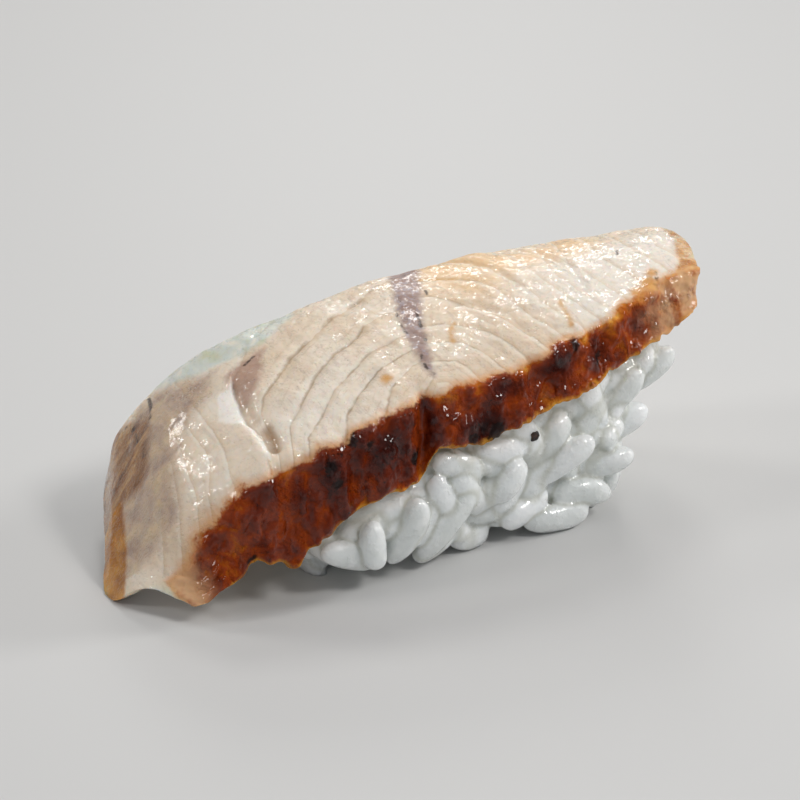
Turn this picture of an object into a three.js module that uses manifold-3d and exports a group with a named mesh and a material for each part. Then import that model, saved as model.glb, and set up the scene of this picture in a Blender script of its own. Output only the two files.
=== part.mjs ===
// Eel nigiri: a slice of grilled eel draped over a hand-pressed block of sushi rice.
// Millimetres, +Z up. X runs along the slice, and its browned skin side faces -Y.
// The origin lies on the floor. MIDDLE brings it under the middle of the whole.

import * as THREE from "three";
import { mergeVertices } from "three/addons/utils/BufferGeometryUtils.js";
import Module from "manifold-3d";

const wasm = await Module();
wasm.setup();

const MIDDLE = { x: 0.32, y: 0.16 }; // of the shapes below, as they are laid out

// ---- The slice -------------------------------------------------------------------------

// Cross-sections along X. front and back: Y of the two long top edges. frontTop and backTop:
// their heights. edge: height of the crust's lower edge. thick: thickness at the back.
const SECTIONS = [
  { x: -38, front: -5.5, back: 13.0, frontTop: 4.0, backTop: 0.5, edge: 0.5, thick: 2.0 },
  { x: -32, front: -9.2, back: 15.0, frontTop: 8.8, backTop: 7.2, edge: 1.8, thick: 4.5 },
  { x: -27, front: -10.2, back: 15.6, frontTop: 13.0, backTop: 12.4, edge: 3.8, thick: 6.8 },
  { x: -21, front: -10.6, back: 14.2, frontTop: 15.5, backTop: 17.0, edge: 5.0, thick: 8.0 },
  { x: -14, front: -11.6, back: 12.0, frontTop: 17.2, backTop: 20.8, edge: 7.9, thick: 8.5 },
  { x: -5, front: -12.0, back: 10.5, frontTop: 19.0, backTop: 22.9, edge: 10.0, thick: 8.2 },
  { x: 4, front: -12.7, back: 10.4, frontTop: 20.0, backTop: 23.9, edge: 13.3, thick: 7.5 },
  { x: 14, front: -12.4, back: 10.2, frontTop: 21.8, backTop: 24.0, edge: 15.5, thick: 6.8 },
  { x: 24, front: -10.6, back: 8.8, frontTop: 23.8, backTop: 23.8, edge: 17.9, thick: 6.2 },
  { x: 31, front: -9.6, back: 6.6, frontTop: 24.8, backTop: 24.0, edge: 20.0, thick: 5.8 },
  { x: 38, front: -9.0, back: 4.5, frontTop: 24.6, backTop: 24.4, edge: 21.4, thick: 5.0 },
];

// X of the two ends of the slice, from its front (across = 0) to its back (across = 1).
const LEFT_END = [
  { across: 0, x: -31.5 },
  { across: 0.33, x: -37.1 },
  { across: 0.7, x: -33.2 },
  { across: 1, x: -29.0 },
];
const RIGHT_END = [
  { across: 0, x: 33.2 },
  { across: 0.4, x: 36.4 },
  { across: 0.75, x: 37.5 },
  { across: 1, x: 36.6 },
];

const NOMINAL = { long: 74, wide: 23.5, high: 7.5 }; // the slice before it is bent
const ROUNDING = { left: 1.0, right: 2.6, front: 1.0, back: 2.4, top: 1.3, bottom: 1.0 };
const FRONT_LEAN = 1.8; // the crust's lower edge stands out from its top edge
const LEFT_LEAN = 1.5; // the left end slopes out towards the floor
const RIGHT_LEAN = 1.5; // the right end is cut back below
const CROWN = 1.1; // rise of the top between its long edges
const CURL = { reach: 0.13, front: 0.75, back: 0.35 }; // thinning towards the left end
const TIP = { across: 0.36, drop: 1.6, reach: 0.05, width: 0.2 }; // the left end's lowest corner
const LOWEST = 0.1; // which stays just clear of the floor
const ARCH = { across: 0.17, rise: 1.8, reach: 0.07, width: 0.09 }; // the edge in front of it

// Folds of the crust: X at the top and at the bottom, depth and half-width.
const FOLDS = [
  { top: -28.3, bottom: -25.9, depth: 0.7, width: 1.2 },
  { top: -14.1, bottom: -13.3, depth: 0.6, width: 1.0 },
  { top: -4.0, bottom: -5.4, depth: 1.5, width: 1.1 },
  { top: 8.6, bottom: 9.4, depth: 0.7, width: 1.3 },
  { top: 17.2, bottom: 19.0, depth: 0.6, width: 1.2 },
];
const STEP = { x: -4.8, rise: 3.2, fade: 6.5, sharp: 4, late: 1.0 }; // the lower edge jumps up
// Scraps of crust that hang lower, and notches, where the drop is negative.
const TEETH = [
  { x: -27.9, drop: 0.5, width: 0.9 },
  { x: -24.9, drop: -1.0, width: 0.9 },
  { x: -21.0, drop: 1.6, width: 1.0 },
  { x: -10.4, drop: -0.9, width: 1.8 },
  { x: 20.2, drop: 0.7, width: 1.1 },
  { x: 27.8, drop: 0.8, width: 1.0 },
];
const CRAG = { depth: 0.75, along: 2.6, up: 2.4 }; // knobbly relief of the crust
const RAGGED = { depth: 0.8, along: 1.9 }; // unevenness of its lower edge

// Grooves between the flakes of the flesh, as [x, y] on the top.
const FLAKE_GROOVES = [
  [[-1.5, 5.7], [-8.2, 3.7], [-11.9, 2.4], [-14.6, -0.2]],
  [[-4.6, 0.9], [-9.2, -0.7], [-12.6, -2.6], [-16.8, -5.4]],
  [[-2.9, -2.8], [-7.5, -3.6], [-12.2, -5.8], [-18.6, -9.5]],
  [[-7.4, -5.8], [-9.8, -6.9], [-14.0, -10.0]],
  [[11.4, 9.0], [13.7, 6.9], [14.7, 3.4], [14.3, -0.9]],
  [[6.7, -0.4], [9.0, -1.7], [10.2, -5.2], [10.5, -9.3]],
  [[18.5, 8.0], [21.0, 4.5], [21.6, -0.5], [20.4, -5.0]],
];
const GROOVE = { depth: 0.4, width: 0.8 };
const TEAR = { path: [[-19.0, 2.6], [-20.4, -2.0], [-20.3, -7.2]], depth: 1.2, width: 1.3 };

const SLICE_CELLS = { along: 58, across: 14, through: 5 };

// ---- The rice --------------------------------------------------------------------------

const GAP = 0.42; // between the rice and the slice
const BLOCK = {
  height: 21, // before the slice's underside cuts it
  left: -16.5,
  right: 19.8, // at the floor
  rightRake: 0.42, // the right end leans out as it rises
  rightSkew: 3.5, // and the back of that end lies further right
  front: -10.6,
  back: 8.4,
  bulge: 1.2, // the sides belly out at half height
  foot: 2.2, // and tuck in at the floor
};
const BLOCK_ROUNDING = { end: 0.13, side: 0.3, floor: 0.08 };
const BLOCK_CELLS = { along: 12, across: 6, up: 5 };

const GRAIN = { long: 7.2, wide: 3.1, thick: 2.7 };
const GRAIN_SPREAD = 0.16; // of each size, from grain to grain
const ROWS = { first: 1.6, step: 3.1, count: 6 };
const ALONG_ROW = 4.3; // from grain to grain
const SUNK = 0.1; // mm that the middle of a scattered grain lies outside the block's wall
const SEED = 11;

// Grains that stand out at the front, as placed by hand: where the middle is, how steeply
// the grain lies in the wall's plane (degrees up from +X), how far it turns out of that
// plane, and its length.
const SHOWN_GRAINS = [
  { at: [-12.4, -13.9, 7.1], lie: 89, turn: 8, long: 5.5 },
  { at: [-7.9, -13.4, 6.2], lie: 67, turn: -10, long: 8.2 },
  { at: [-3.1, -13.4, 4.7], lie: 45, turn: -6, long: 9.2 },
  { at: [-3.6, -12.3, 2.6], lie: 24, turn: 4, long: 6.4 },
  { at: [0.2, -12.8, 7.3], lie: -57, turn: 6, long: 6.6 },
  { at: [1.2, -11.4, 1.5], lie: -4, turn: 10, long: 5.6 },
  { at: [-14.4, -12.6, 4.0], lie: -22, turn: 0, long: 7.8 },
  { at: [5.3, -13.2, 7.7], lie: 52, turn: 0, long: 5.4 },
  { at: [-0.5, -12.2, 11.0], lie: -24, turn: 4, long: 7.6 },
  { at: [3.3, -11.6, 4.0], lie: -10, turn: 0, long: 6.6 },
  { at: [12.7, -12.9, 8.0], lie: 37, turn: -12, long: 8.2 },
  { at: [9.6, -12.0, 6.2], lie: 62, turn: 0, long: 6.2 },
  { at: [19.0, -12.3, 5.9], lie: 19, turn: -22, long: 6.4 },
  { at: [15.4, -12.9, 3.4], lie: -8, turn: -10, long: 7.2 },
  { at: [7.9, -12.5, 3.3], lie: 20, turn: 6, long: 6.8 },
  { at: [11.6, -13.2, 1.5], lie: -1, turn: -6, long: 8.2 },
  { at: [26.0, -10.0, 14.4], lie: 37, turn: -16, long: 7.6 },
  { at: [22.0, -10.4, 12.8], lie: 42, turn: -10, long: 7.0 },
  { at: [23.2, -9.8, 8.8], lie: 33, turn: -20, long: 6.0 },
  { at: [16.8, -11.2, 11.0], lie: 56, turn: 0, long: 6.4 },
  { at: [11.4, -11.8, 10.4], lie: 47, turn: 0, long: 6.8 },
  { at: [5.2, -12.0, 10.9], lie: -2, turn: 0, long: 6.4 },
  { at: [19.0, -11.1, 8.6], lie: 24, turn: -6, long: 6.0 },
];
const ELBOW_ROOM = 2.7; // scattered grains keep this far from the shown ones
const LOWEST_GRAIN = 0.9; // height of the lowest grain's middle
const FURTHEST_DROP = 1.5; // a scattered grain that would have to sink more is left out

// ---- Shape functions -------------------------------------------------------------------

// A smooth curve through stations of growing position, which never overshoots them.
function smoothThrough(stations, positionKey, valueKey) {
  const place = stations.map((station) => station[positionKey]);
  const value = stations.map((station) => station[valueKey]);
  const last = place.length - 1;
  const slope = place.slice(1).map((p, i) => (value[i + 1] - value[i]) / (p - place[i]));
  const tangent = value.map((_, i) => {
    if (i === 0) return slope[0];
    if (i === last) return slope[last - 1];
    const product = slope[i - 1] * slope[i];
    return product > 0 ? (2 * product) / (slope[i - 1] + slope[i]) : 0;
  });
  return (position) => {
    const p = THREE.MathUtils.clamp(position, place[0], place[last]);
    let i = 0;
    while (i < last - 1 && p >= place[i + 1]) i += 1;
    const span = place[i + 1] - place[i];
    const t = (p - place[i]) / span;
    const rise = t * t * (3 - 2 * t);
    const start = t * (1 - t) ** 2 * span * tangent[i];
    const end = t * t * (t - 1) * span * tangent[i + 1];
    return value[i] * (1 - rise) + value[i + 1] * rise + start + end;
  };
}

const curve = Object.fromEntries(
  ["front", "back", "frontTop", "backTop", "edge", "thick"].map((key) => [
    key,
    smoothThrough(SECTIONS, "x", key),
  ])
);
const leftEnd = smoothThrough(LEFT_END, "across", "x");
const rightEnd = smoothThrough(RIGHT_END, "across", "x");

const mix = THREE.MathUtils.lerp;
const bell = (distance, width) => Math.exp(-((distance / width) ** 2));

// Smooth noise from -1 to 1 on a grid of unit cells.
function latticeValue(i, j, seed) {
  const wave = Math.sin(i * 127.1 + j * 311.7 + seed * 74.7) * 43758.5453;
  return 2 * (wave - Math.floor(wave)) - 1;
}
function noise(x, y, seed) {
  const i = Math.floor(x);
  const j = Math.floor(y);
  const u = THREE.MathUtils.smoothstep(x - i, 0, 1);
  const v = THREE.MathUtils.smoothstep(y - j, 0, 1);
  const near = mix(latticeValue(i, j, seed), latticeValue(i + 1, j, seed), u);
  const far = mix(latticeValue(i, j + 1, seed), latticeValue(i + 1, j + 1, seed), u);
  return mix(near, far, v);
}

// Distance in plan from (x, y) to a path of [x, y] points.
function distanceToPath(x, y, path) {
  let nearest = Infinity;
  for (let i = 1; i < path.length; i += 1) {
    const [ax, ay] = path[i - 1];
    const [bx, by] = path[i];
    const length2 = (bx - ax) ** 2 + (by - ay) ** 2;
    const t = THREE.MathUtils.clamp(((x - ax) * (bx - ax) + (y - ay) * (by - ay)) / length2, 0, 1);
    nearest = Math.min(nearest, Math.hypot(x - mix(ax, bx, t), y - mix(ay, by, t)));
  }
  return nearest;
}

// Rounds the edges of the unit cube. low and high hold the rounding at each side, as a
// share of the cube's length, width and height.
function roundCube(point, low, high) {
  const inner = [0, 1, 2].map((k) => THREE.MathUtils.clamp(point[k], low[k], 1 - high[k]));
  const reach = [0, 1, 2].map((k) => (point[k] < inner[k] ? low[k] : high[k]));
  const out = [0, 1, 2].map((k) => (point[k] - inner[k]) / reach[k]);
  const size = Math.max(1, Math.hypot(...out));
  return inner.map((value, k) => value + (out[k] / size) * reach[k]);
}

// How far the crust stands out of the smooth slice, at height share q of its side.
function crustRelief(x, q) {
  let relief = CRAG.depth * 0.6 * noise(x / CRAG.along, q * CRAG.up, 3);
  relief += CRAG.depth * 0.4 * noise(x / (CRAG.along * 0.45), q * CRAG.up * 2, 5);
  for (const fold of FOLDS) {
    relief -= fold.depth * bell(x - mix(fold.bottom, fold.top, q), fold.width);
  }
  return relief;
}

// How far the crust's lower edge lies above its stations, at the least: it steps up at the
// deep fold and has teeth.
function edgeStep(x) {
  const step = 1 / (1 + Math.exp(-(x - STEP.x) * STEP.sharp));
  const fading = THREE.MathUtils.clamp(1 - (x - STEP.x) / STEP.fade, 0, 1);
  const drops = TEETH.map((tooth) => tooth.drop * bell(x - tooth.x, tooth.width));
  return drops.reduce((height, drop) => height - drop, STEP.rise * step * fading);
}
function edgeRise(x) {
  const ragged = 2 + noise(x / RAGGED.along, 0.5, 7) + noise((2 * x) / RAGGED.along, 0.5, 9);
  return edgeStep(x) + RAGGED.depth * 0.25 * ragged;
}

// How far the flesh lies below the smooth top.
function fleshRelief(x, y) {
  let depth = 0.18 * noise(x / 3, y / 3, 13);
  for (const path of FLAKE_GROOVES) {
    depth += GROOVE.depth * bell(distanceToPath(x, y, path), GROOVE.width);
  }
  return depth + TEAR.depth * bell(distanceToPath(x, y, TEAR.path), TEAR.width);
}

// A point of the slice: s along it, w from front to back, q from bottom to top, each 0 to 1.
function slicePoint(s, w, q) {
  const left = leftEnd(w) + LEFT_LEAN * q;
  const right = rightEnd(w) - RIGHT_LEAN * (1 - w) * (1 - q);
  const x = mix(left, right, s);
  const smoothY = mix(curve.front(x) - FRONT_LEAN * (1 - q), curve.back(x), w);
  const nearFront = Math.exp(-w * 9);
  const y = smoothY - crustRelief(x, q) * nearFront;

  const top = mix(curve.frontTop(x), curve.backTop(x), w) + CROWN * 4 * w * (1 - w);
  const depth = mix(curve.frontTop(x) - curve.edge(x), curve.thick(x), w);
  const nearTip = THREE.MathUtils.clamp(1 - s / CURL.reach, 0, 1) ** 2;
  const curl = nearTip * mix(CURL.front, CURL.back, w);
  let z = top - depth + depth * (1 - curl) * q;
  z += edgeRise(x) * (1 - q) * (1 - w) ** 3 * (1 - nearTip);
  z -= fleshRelief(x, y) * q ** 4 * (1 - nearTip);
  z -= TIP.drop * bell(s, TIP.reach) * bell(w - TIP.across, TIP.width);
  const arch = ARCH.rise * bell(s, ARCH.reach) * bell(w - ARCH.across, ARCH.width);
  return [x, y, Math.max(z, LOWEST) + arch];
}

// Height of the slice's underside over a point of the floor. The step up is taken a little
// late, so that what lies under it keeps clear.
function undersideAt(x, y) {
  const front = curve.front(x) - FRONT_LEAN;
  const w = THREE.MathUtils.clamp((y - front) / (curve.back(x) - front), 0, 1);
  const top = mix(curve.frontTop(x), curve.backTop(x), w) + CROWN * 4 * w * (1 - w);
  const depth = mix(curve.frontTop(x) - curve.edge(x), curve.thick(x), w);
  return top - depth + Math.min(edgeStep(x), edgeStep(x - STEP.late)) * (1 - w) ** 3;
}

// ---- Solids ----------------------------------------------------------------------------

// A closed geometry with shared corners from a unit box, a function placing each corner.
function shapedBox(cells, placeCorner) {
  const box = new THREE.BoxGeometry(1, 1, 1, ...cells);
  box.deleteAttribute("normal");
  box.deleteAttribute("uv");
  const position = box.getAttribute("position");
  for (let i = 0; i < position.count; i += 1) {
    const corner = [position.getX(i) + 0.5, position.getY(i) + 0.5, position.getZ(i) + 0.5];
    position.setXYZ(i, ...placeCorner(corner));
  }
  return mergeVertices(box, 1e-4);
}

function sliceGeometry() {
  const low = [
    ROUNDING.left / NOMINAL.long,
    ROUNDING.front / NOMINAL.wide,
    ROUNDING.bottom / NOMINAL.high,
  ];
  const high = [
    ROUNDING.right / NOMINAL.long,
    ROUNDING.back / NOMINAL.wide,
    ROUNDING.top / NOMINAL.high,
  ];
  const cells = [SLICE_CELLS.along, SLICE_CELLS.across, SLICE_CELLS.through];
  return shapedBox(cells, (corner) => slicePoint(...roundCube(corner, low, high)));
}

// A point of the rice block's skin: u along it, v from front to back, t from floor to top.
function blockPoint(u, v, t) {
  const z = BLOCK.height * t;
  const belly = BLOCK.bulge * Math.sin(Math.PI * Math.min(1, z / 12));
  const tuck = BLOCK.foot * (1 - Math.min(1, z / 5)) ** 2;
  const right = BLOCK.right + BLOCK.rightRake * z + BLOCK.rightSkew * v - tuck;
  const x = mix(BLOCK.left + tuck, right, u);
  const slant = 0.05 * (x - BLOCK.right) - 0.4;
  const front = BLOCK.front + Math.max(slant, -1.6) - belly + tuck;
  const back = BLOCK.back + belly - tuck - 0.06 * Math.max(0, x - 14);
  return [x, mix(front, back, v), z];
}

function roundedBlockPoint(corner) {
  const low = [BLOCK_ROUNDING.end, BLOCK_ROUNDING.side, BLOCK_ROUNDING.floor];
  return blockPoint(...roundCube(corner, low, [low[0], low[1], 0.01]));
}

// A point on the block's upright wall, and the direction out of it. turn goes once round
// the wall from 0 to 4: front, right end, back, left end.
function wallAt(turn, z) {
  const t = z / BLOCK.height;
  const corner = (value) => {
    const side = ((Math.floor(value) % 4) + 4) % 4;
    const f = value - Math.floor(value);
    const plan = [[f, 0], [1, f], [1 - f, 1], [0, 1 - f]][side];
    return new THREE.Vector3(...roundedBlockPoint([...plan, t]));
  };
  const along = corner(turn + 0.02).sub(corner(turn - 0.02)).normalize();
  const outward = new THREE.Vector3(along.y, -along.x, 0);
  return { point: corner(turn), along, outward };
}

function solidFrom(geometry) {
  const index = geometry.getIndex();
  const vertProperties = new Float32Array(geometry.getAttribute("position").array);
  const triVerts = new Uint32Array(index.array);
  return new wasm.Manifold(new wasm.Mesh({ numProp: 3, vertProperties, triVerts }));
}

function geometryFrom(solid) {
  const mesh = solid.getMesh();
  const geometry = new THREE.BufferGeometry();
  geometry.setAttribute("position", new THREE.BufferAttribute(mesh.vertProperties, 3));
  geometry.setIndex(new THREE.BufferAttribute(mesh.triVerts, 1));
  return geometry;
}

// Everything above the slice's underside, lowered by the gap: it cuts the rice to fit.
function roomForSlice() {
  const margin = 0.04;
  const cells = [44, 5, 1];
  return shapedBox(cells, ([u, v, t]) => {
    const s = mix(-margin, 1 + margin, u);
    const w = mix(-margin, 1 + margin, v);
    const [x, y] = slicePoint(s, w, 0);
    return [x, y - GAP * (1 - v), t > 0.5 ? 60 : undersideAt(x, y) - GAP];
  });
}

// ---- Grains ----------------------------------------------------------------------------

// The same random numbers on every run.
function randomSource(seed) {
  let state = seed;
  return () => {
    state = (state * 1664525 + 1013904223) % 4294967296;
    return state / 4294967296;
  };
}

// A plump grain of length, width and thickness 1, turned about its long axis, X.
const GRAIN_PROFILE = [[0, -0.5], [0.4, -0.34], [0.52, 0.02], [0.38, 0.35], [0, 0.5]];
const GRAIN_SIDES = 5;
const grainShape = new THREE.LatheGeometry(
  GRAIN_PROFILE.map(([radius, along]) => new THREE.Vector2(radius, along)),
  GRAIN_SIDES
).rotateZ(-Math.PI / 2);
grainShape.deleteAttribute("normal");
grainShape.deleteAttribute("uv");

function grainGeometry({ middle, axis, up, long, wide, thick }) {
  const side = new THREE.Vector3().crossVectors(up, axis).normalize();
  const face = new THREE.Vector3().crossVectors(axis, side);
  const place = new THREE.Matrix4().makeBasis(
    axis.clone().multiplyScalar(long),
    side.multiplyScalar(wide),
    face.multiplyScalar(thick)
  );
  place.setPosition(middle);
  return mergeVertices(grainShape.clone().applyMatrix4(place), 1e-4);
}

// Lowers a grain that would reach the slice, and lifts its middle off the floor. Returns how
// far it was lowered.
function settleGrain(grain) {
  const { middle, axis, long, wide } = grain;
  const reach = Math.hypot((axis.z * long) / 2, (Math.sqrt(1 - axis.z ** 2) * wide) / 2);
  const ends = [-0.3, 0, 0.3].map((share) => middle.clone().addScaledVector(axis, share * long));
  const ceiling = Math.min(...ends.map((end) => undersideAt(end.x, end.y))) - GAP;
  const drop = Math.max(0, middle.z + reach - ceiling);
  middle.z = Math.max(middle.z - drop, LOWEST_GRAIN);
  return drop;
}

function shownGrain({ at, lie, turn, long }) {
  const rise = THREE.MathUtils.degToRad(lie);
  const swing = THREE.MathUtils.degToRad(turn);
  const axis = new THREE.Vector3(
    Math.cos(rise) * Math.cos(swing),
    Math.sin(swing),
    Math.sin(rise) * Math.cos(swing)
  );
  const up = new THREE.Vector3(0, -1, 0);
  return { middle: new THREE.Vector3(...at), axis, up, long, wide: GRAIN.wide, thick: GRAIN.thick };
}

function scatteredGrains(random) {
  const grains = [];
  for (let row = 0; row < ROWS.count; row += 1) {
    const z = ROWS.first + row * ROWS.step;
    let turn = random() * 0.1;
    while (turn < 4) {
      const { point, along, outward } = wallAt(turn, z);
      const lie = (random() - 0.5) * Math.PI * 0.9;
      const swing = (random() - 0.5) * 0.7;
      const axis = along.clone().multiplyScalar(Math.cos(lie));
      axis.add(new THREE.Vector3(0, 0, Math.sin(lie)));
      axis.addScaledVector(outward, swing).normalize();
      const grow = () => 1 + (random() - 0.5) * 2 * GRAIN_SPREAD;
      grains.push({
        middle: point.clone().addScaledVector(outward, SUNK + (random() - 0.5) * 0.8),
        axis,
        up: outward,
        long: GRAIN.long * grow(),
        wide: GRAIN.wide * grow(),
        thick: GRAIN.thick * grow(),
      });
      const sideLength = Math.floor(turn) % 2 === 0 ? 42 : 21;
      turn += (ALONG_ROW * (0.85 + 0.3 * random())) / sideLength;
    }
  }
  return grains;
}

function riceGeometry() {
  const blockCells = [BLOCK_CELLS.along, BLOCK_CELLS.across, BLOCK_CELLS.up];
  let rice = solidFrom(shapedBox(blockCells, roundedBlockPoint));
  const shown = SHOWN_GRAINS.map(shownGrain);
  shown.forEach(settleGrain);
  const scattered = scatteredGrains(randomSource(SEED)).filter((grain) => {
    const clear = shown.every((other) => other.middle.distanceTo(grain.middle) > ELBOW_ROOM);
    return clear && settleGrain(grain) < FURTHEST_DROP;
  });
  for (const grain of [...shown, ...scattered]) rice = rice.add(solidFrom(grainGeometry(grain)));
  rice = rice.subtract(solidFrom(roomForSlice()));
  rice = rice.subtract(solidFrom(shapedBox([1, 1, 1], ([u, v, t]) => [
    mix(-60, 60, u),
    mix(-60, 60, v),
    mix(-20, 0, t),
  ])));
  const bodies = rice.decompose().sort((a, b) => b.volume() - a.volume());
  return geometryFrom(bodies[0]);
}

// ---- The nigiri ------------------------------------------------------------------------

const slice = new THREE.Mesh(
  sliceGeometry().translate(-MIDDLE.x, -MIDDLE.y, 0),
  new THREE.MeshStandardMaterial({ color: 0xe3cdb0, roughness: 0.3, metalness: 0 })
);
slice.name = "eel_slice";

const rice = new THREE.Mesh(
  riceGeometry().translate(-MIDDLE.x, -MIDDLE.y, 0),
  new THREE.MeshStandardMaterial({ color: 0xdfe3e4, roughness: 0.35, metalness: 0 })
);
rice.name = "rice";

const nigiri = new THREE.Group();
nigiri.add(slice, rice);

export default nigiri;
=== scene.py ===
# Eel nigiri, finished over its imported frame: a slice of grilled eel with a caramelised
# skin side, draped over hand-pressed sushi rice.
# Shapes are worked out in millimetres, in the frame's own axes, and become metres when a
# mesh is made. X runs along the slice, its browned side faces -Y, and the floor is at 0.

import math

import bpy
import numpy as np
from bpy.props import FloatProperty, FloatVectorProperty, IntProperty, PointerProperty
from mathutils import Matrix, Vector


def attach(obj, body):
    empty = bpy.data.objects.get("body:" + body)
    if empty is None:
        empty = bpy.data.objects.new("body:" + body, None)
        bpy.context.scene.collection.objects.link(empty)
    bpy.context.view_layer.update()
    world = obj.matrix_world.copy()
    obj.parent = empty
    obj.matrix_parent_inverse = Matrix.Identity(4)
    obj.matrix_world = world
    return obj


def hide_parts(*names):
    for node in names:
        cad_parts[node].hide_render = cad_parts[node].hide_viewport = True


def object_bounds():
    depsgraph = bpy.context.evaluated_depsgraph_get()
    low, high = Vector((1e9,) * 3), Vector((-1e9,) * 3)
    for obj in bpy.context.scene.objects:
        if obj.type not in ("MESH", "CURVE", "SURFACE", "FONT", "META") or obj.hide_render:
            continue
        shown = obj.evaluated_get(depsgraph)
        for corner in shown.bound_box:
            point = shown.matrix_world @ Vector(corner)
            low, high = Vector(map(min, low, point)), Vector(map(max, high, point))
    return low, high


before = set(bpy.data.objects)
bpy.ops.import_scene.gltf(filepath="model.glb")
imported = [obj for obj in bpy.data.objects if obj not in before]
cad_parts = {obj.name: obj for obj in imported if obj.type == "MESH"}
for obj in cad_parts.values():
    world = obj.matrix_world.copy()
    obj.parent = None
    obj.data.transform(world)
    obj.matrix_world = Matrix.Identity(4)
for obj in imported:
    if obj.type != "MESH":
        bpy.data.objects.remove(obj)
CAD_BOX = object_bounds()

bl_info = {
    "name": "Eel nigiri",
    "version": (1, 0, 0),
    "blender": (4, 5, 0),
    "location": "3D View > Sidebar > Nigiri",
    "description": "Builds a piece of eel nigiri: the slice, the rice and the table it is shown on",
    "category": "Add Mesh",
}

MM = 0.001
MIDDLE = np.array([0.32, 0.16, 0.0])  # of the shapes as laid out; it comes to the origin

# ---- The slice, in mm --------------------------------------------------------------------

# Cross-sections along X: Y of the front and back top edges, their heights, the height of the
# crust's lower edge, and the thickness at the back.
SECTION_X = [-38, -32, -27, -21, -14, -5, 4, 14, 24, 31, 38]
SECTIONS = {
    "front": [-5.5, -9.2, -10.2, -10.6, -11.6, -12.0, -12.7, -12.4, -10.6, -9.6, -9.0],
    "back": [13.0, 15.0, 15.6, 14.2, 12.0, 10.5, 10.4, 10.2, 8.8, 6.6, 4.5],
    "front_top": [4.0, 8.8, 13.0, 15.5, 17.2, 19.0, 20.0, 21.8, 23.8, 24.8, 24.6],
    "back_top": [0.5, 7.2, 12.4, 17.0, 20.8, 22.9, 23.9, 24.0, 23.8, 24.0, 24.4],
    "edge": [0.5, 1.8, 3.8, 5.0, 7.9, 10.0, 13.3, 15.5, 17.9, 20.0, 21.4],
    "thick": [2.0, 4.5, 6.8, 8.0, 8.5, 8.2, 7.5, 6.8, 6.2, 5.8, 5.0],
}
# X of the two ends, from the front (0) to the back (1).
LEFT_END = ([0, 0.33, 0.7, 1], [-31.5, -37.1, -33.2, -29.0])
RIGHT_END = ([0, 0.4, 0.75, 1], [33.2, 36.4, 37.5, 36.6])

NOMINAL = np.array([74.0, 23.5, 7.5])  # the slice before it is bent
ROUNDING_LOW = np.array([1.0, 1.0, 1.0])  # of the left, front and bottom edges
ROUNDING_HIGH = np.array([2.6, 2.4, 1.3])  # of the right, back and top edges
# How far the lower edge of each side runs out past the upper one, and the rise of the top.
FRONT_LEAN = 1.8
LEFT_LEAN = 1.5
RIGHT_LEAN = 1.5
CROWN = 1.1
# At the left end the slice thins out, its tip droops and its lower edge arches up beside it.
# Places and reaches are shares of the slice's length and width.
CURL = {"reach": 0.13, "front": 0.75, "back": 0.35}
TIP = {"across": 0.36, "drop": 1.6, "reach": 0.05, "width": 0.2}
ARCH = {"across": 0.17, "rise": 1.8, "reach": 0.07, "width": 0.09}
LOWEST = 0.1

# Folds of the crust: X at the top and at the bottom, depth and half-width.
FOLDS = [
    (-28.3, -25.9, 0.7, 1.2),
    (-14.1, -13.3, 0.6, 1.0),
    (-4.0, -5.4, 1.5, 1.1),
    (8.6, 9.4, 0.7, 1.3),
    (17.2, 19.0, 0.6, 1.2),
]
# The step in the crust's lower edge under the deepest fold. Underneath it comes a little later.
STEP = {"x": -4.8, "rise": 3.2, "fade": 6.5, "sharp": 4, "late": 1.0}
# Scraps of crust that hang lower, and notches, as X, drop and half-width.
TEETH = [
    (-27.9, 0.5, 0.9),
    (-24.9, -1.0, 0.9),
    (-21.0, 1.6, 1.0),
    (-10.4, -0.9, 1.8),
    (20.2, 0.7, 1.1),
    (27.8, 0.8, 1.0),
]
# The crags of the crust's wall, coarse ones under fine ones, which die away to the back. The
# rags are those of its lower edge.
CRAG = {"depth": 0.75, "along": 2.6, "up": 2.4, "fade": 9, "coarse": 0.6, "fine": 0.4, "finer": 0.45}
RAGGED = {"depth": 0.8, "along": 1.9}
WAVES = {"depth": 0.18, "size": 3}  # of the flesh on the top

# Grooves between the flakes that are deep enough to count as form, as (x, y) on the top.
FLAKE_GROOVES = [
    [(-1.5, 5.7), (-8.2, 3.7), (-11.9, 2.4), (-14.6, -0.2)],
    [(-4.6, 0.9), (-9.2, -0.7), (-12.6, -2.6), (-16.8, -5.4)],
    [(-2.9, -2.8), (-7.5, -3.6), (-12.2, -5.8), (-18.6, -9.5)],
    [(-7.4, -5.8), (-9.8, -6.9), (-14.0, -10.0)],
    [(11.4, 9.0), (13.7, 6.9), (14.7, 3.4), (14.3, -0.9)],
    [(6.7, -0.4), (9.0, -1.7), (10.2, -5.2), (10.5, -9.3)],
    [(18.5, 8.0), (21.0, 4.5), (21.6, -0.5), (20.4, -5.0)],
]
GROOVE = {"depth": 0.25, "width": 0.7}
TEAR = {"path": [(-19.0, 2.6), (-20.4, -2.0), (-20.3, -7.2)], "depth": 0.7, "width": 1.0}

# Where the crust gives way to flesh on the top: mm in from the front edge, at each X.
CRUST_REACH = (
    [-38, -33.5, -31.8, -30, -27, -25.4, -24, -21, -18.5, -16.8, -14.2, -12.6, -6, -3, 0, 4, 7, 9.4,
     12, 14, 16.4, 19.6, 22, 27, 30, 33, 38],
    [-3.0, -1.5, 1.4, 2.0, 1.2, 1.3, 0.2, -0.9, -0.8, 0.3, -0.5, 0.5, 0.3, -0.4, 0.5, 0.6, -0.4, -0.5,
     1.0, 0.6, -0.4, -0.2, 0.6, 0.6, 0.8, 1.5, 2.5],
)

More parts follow.
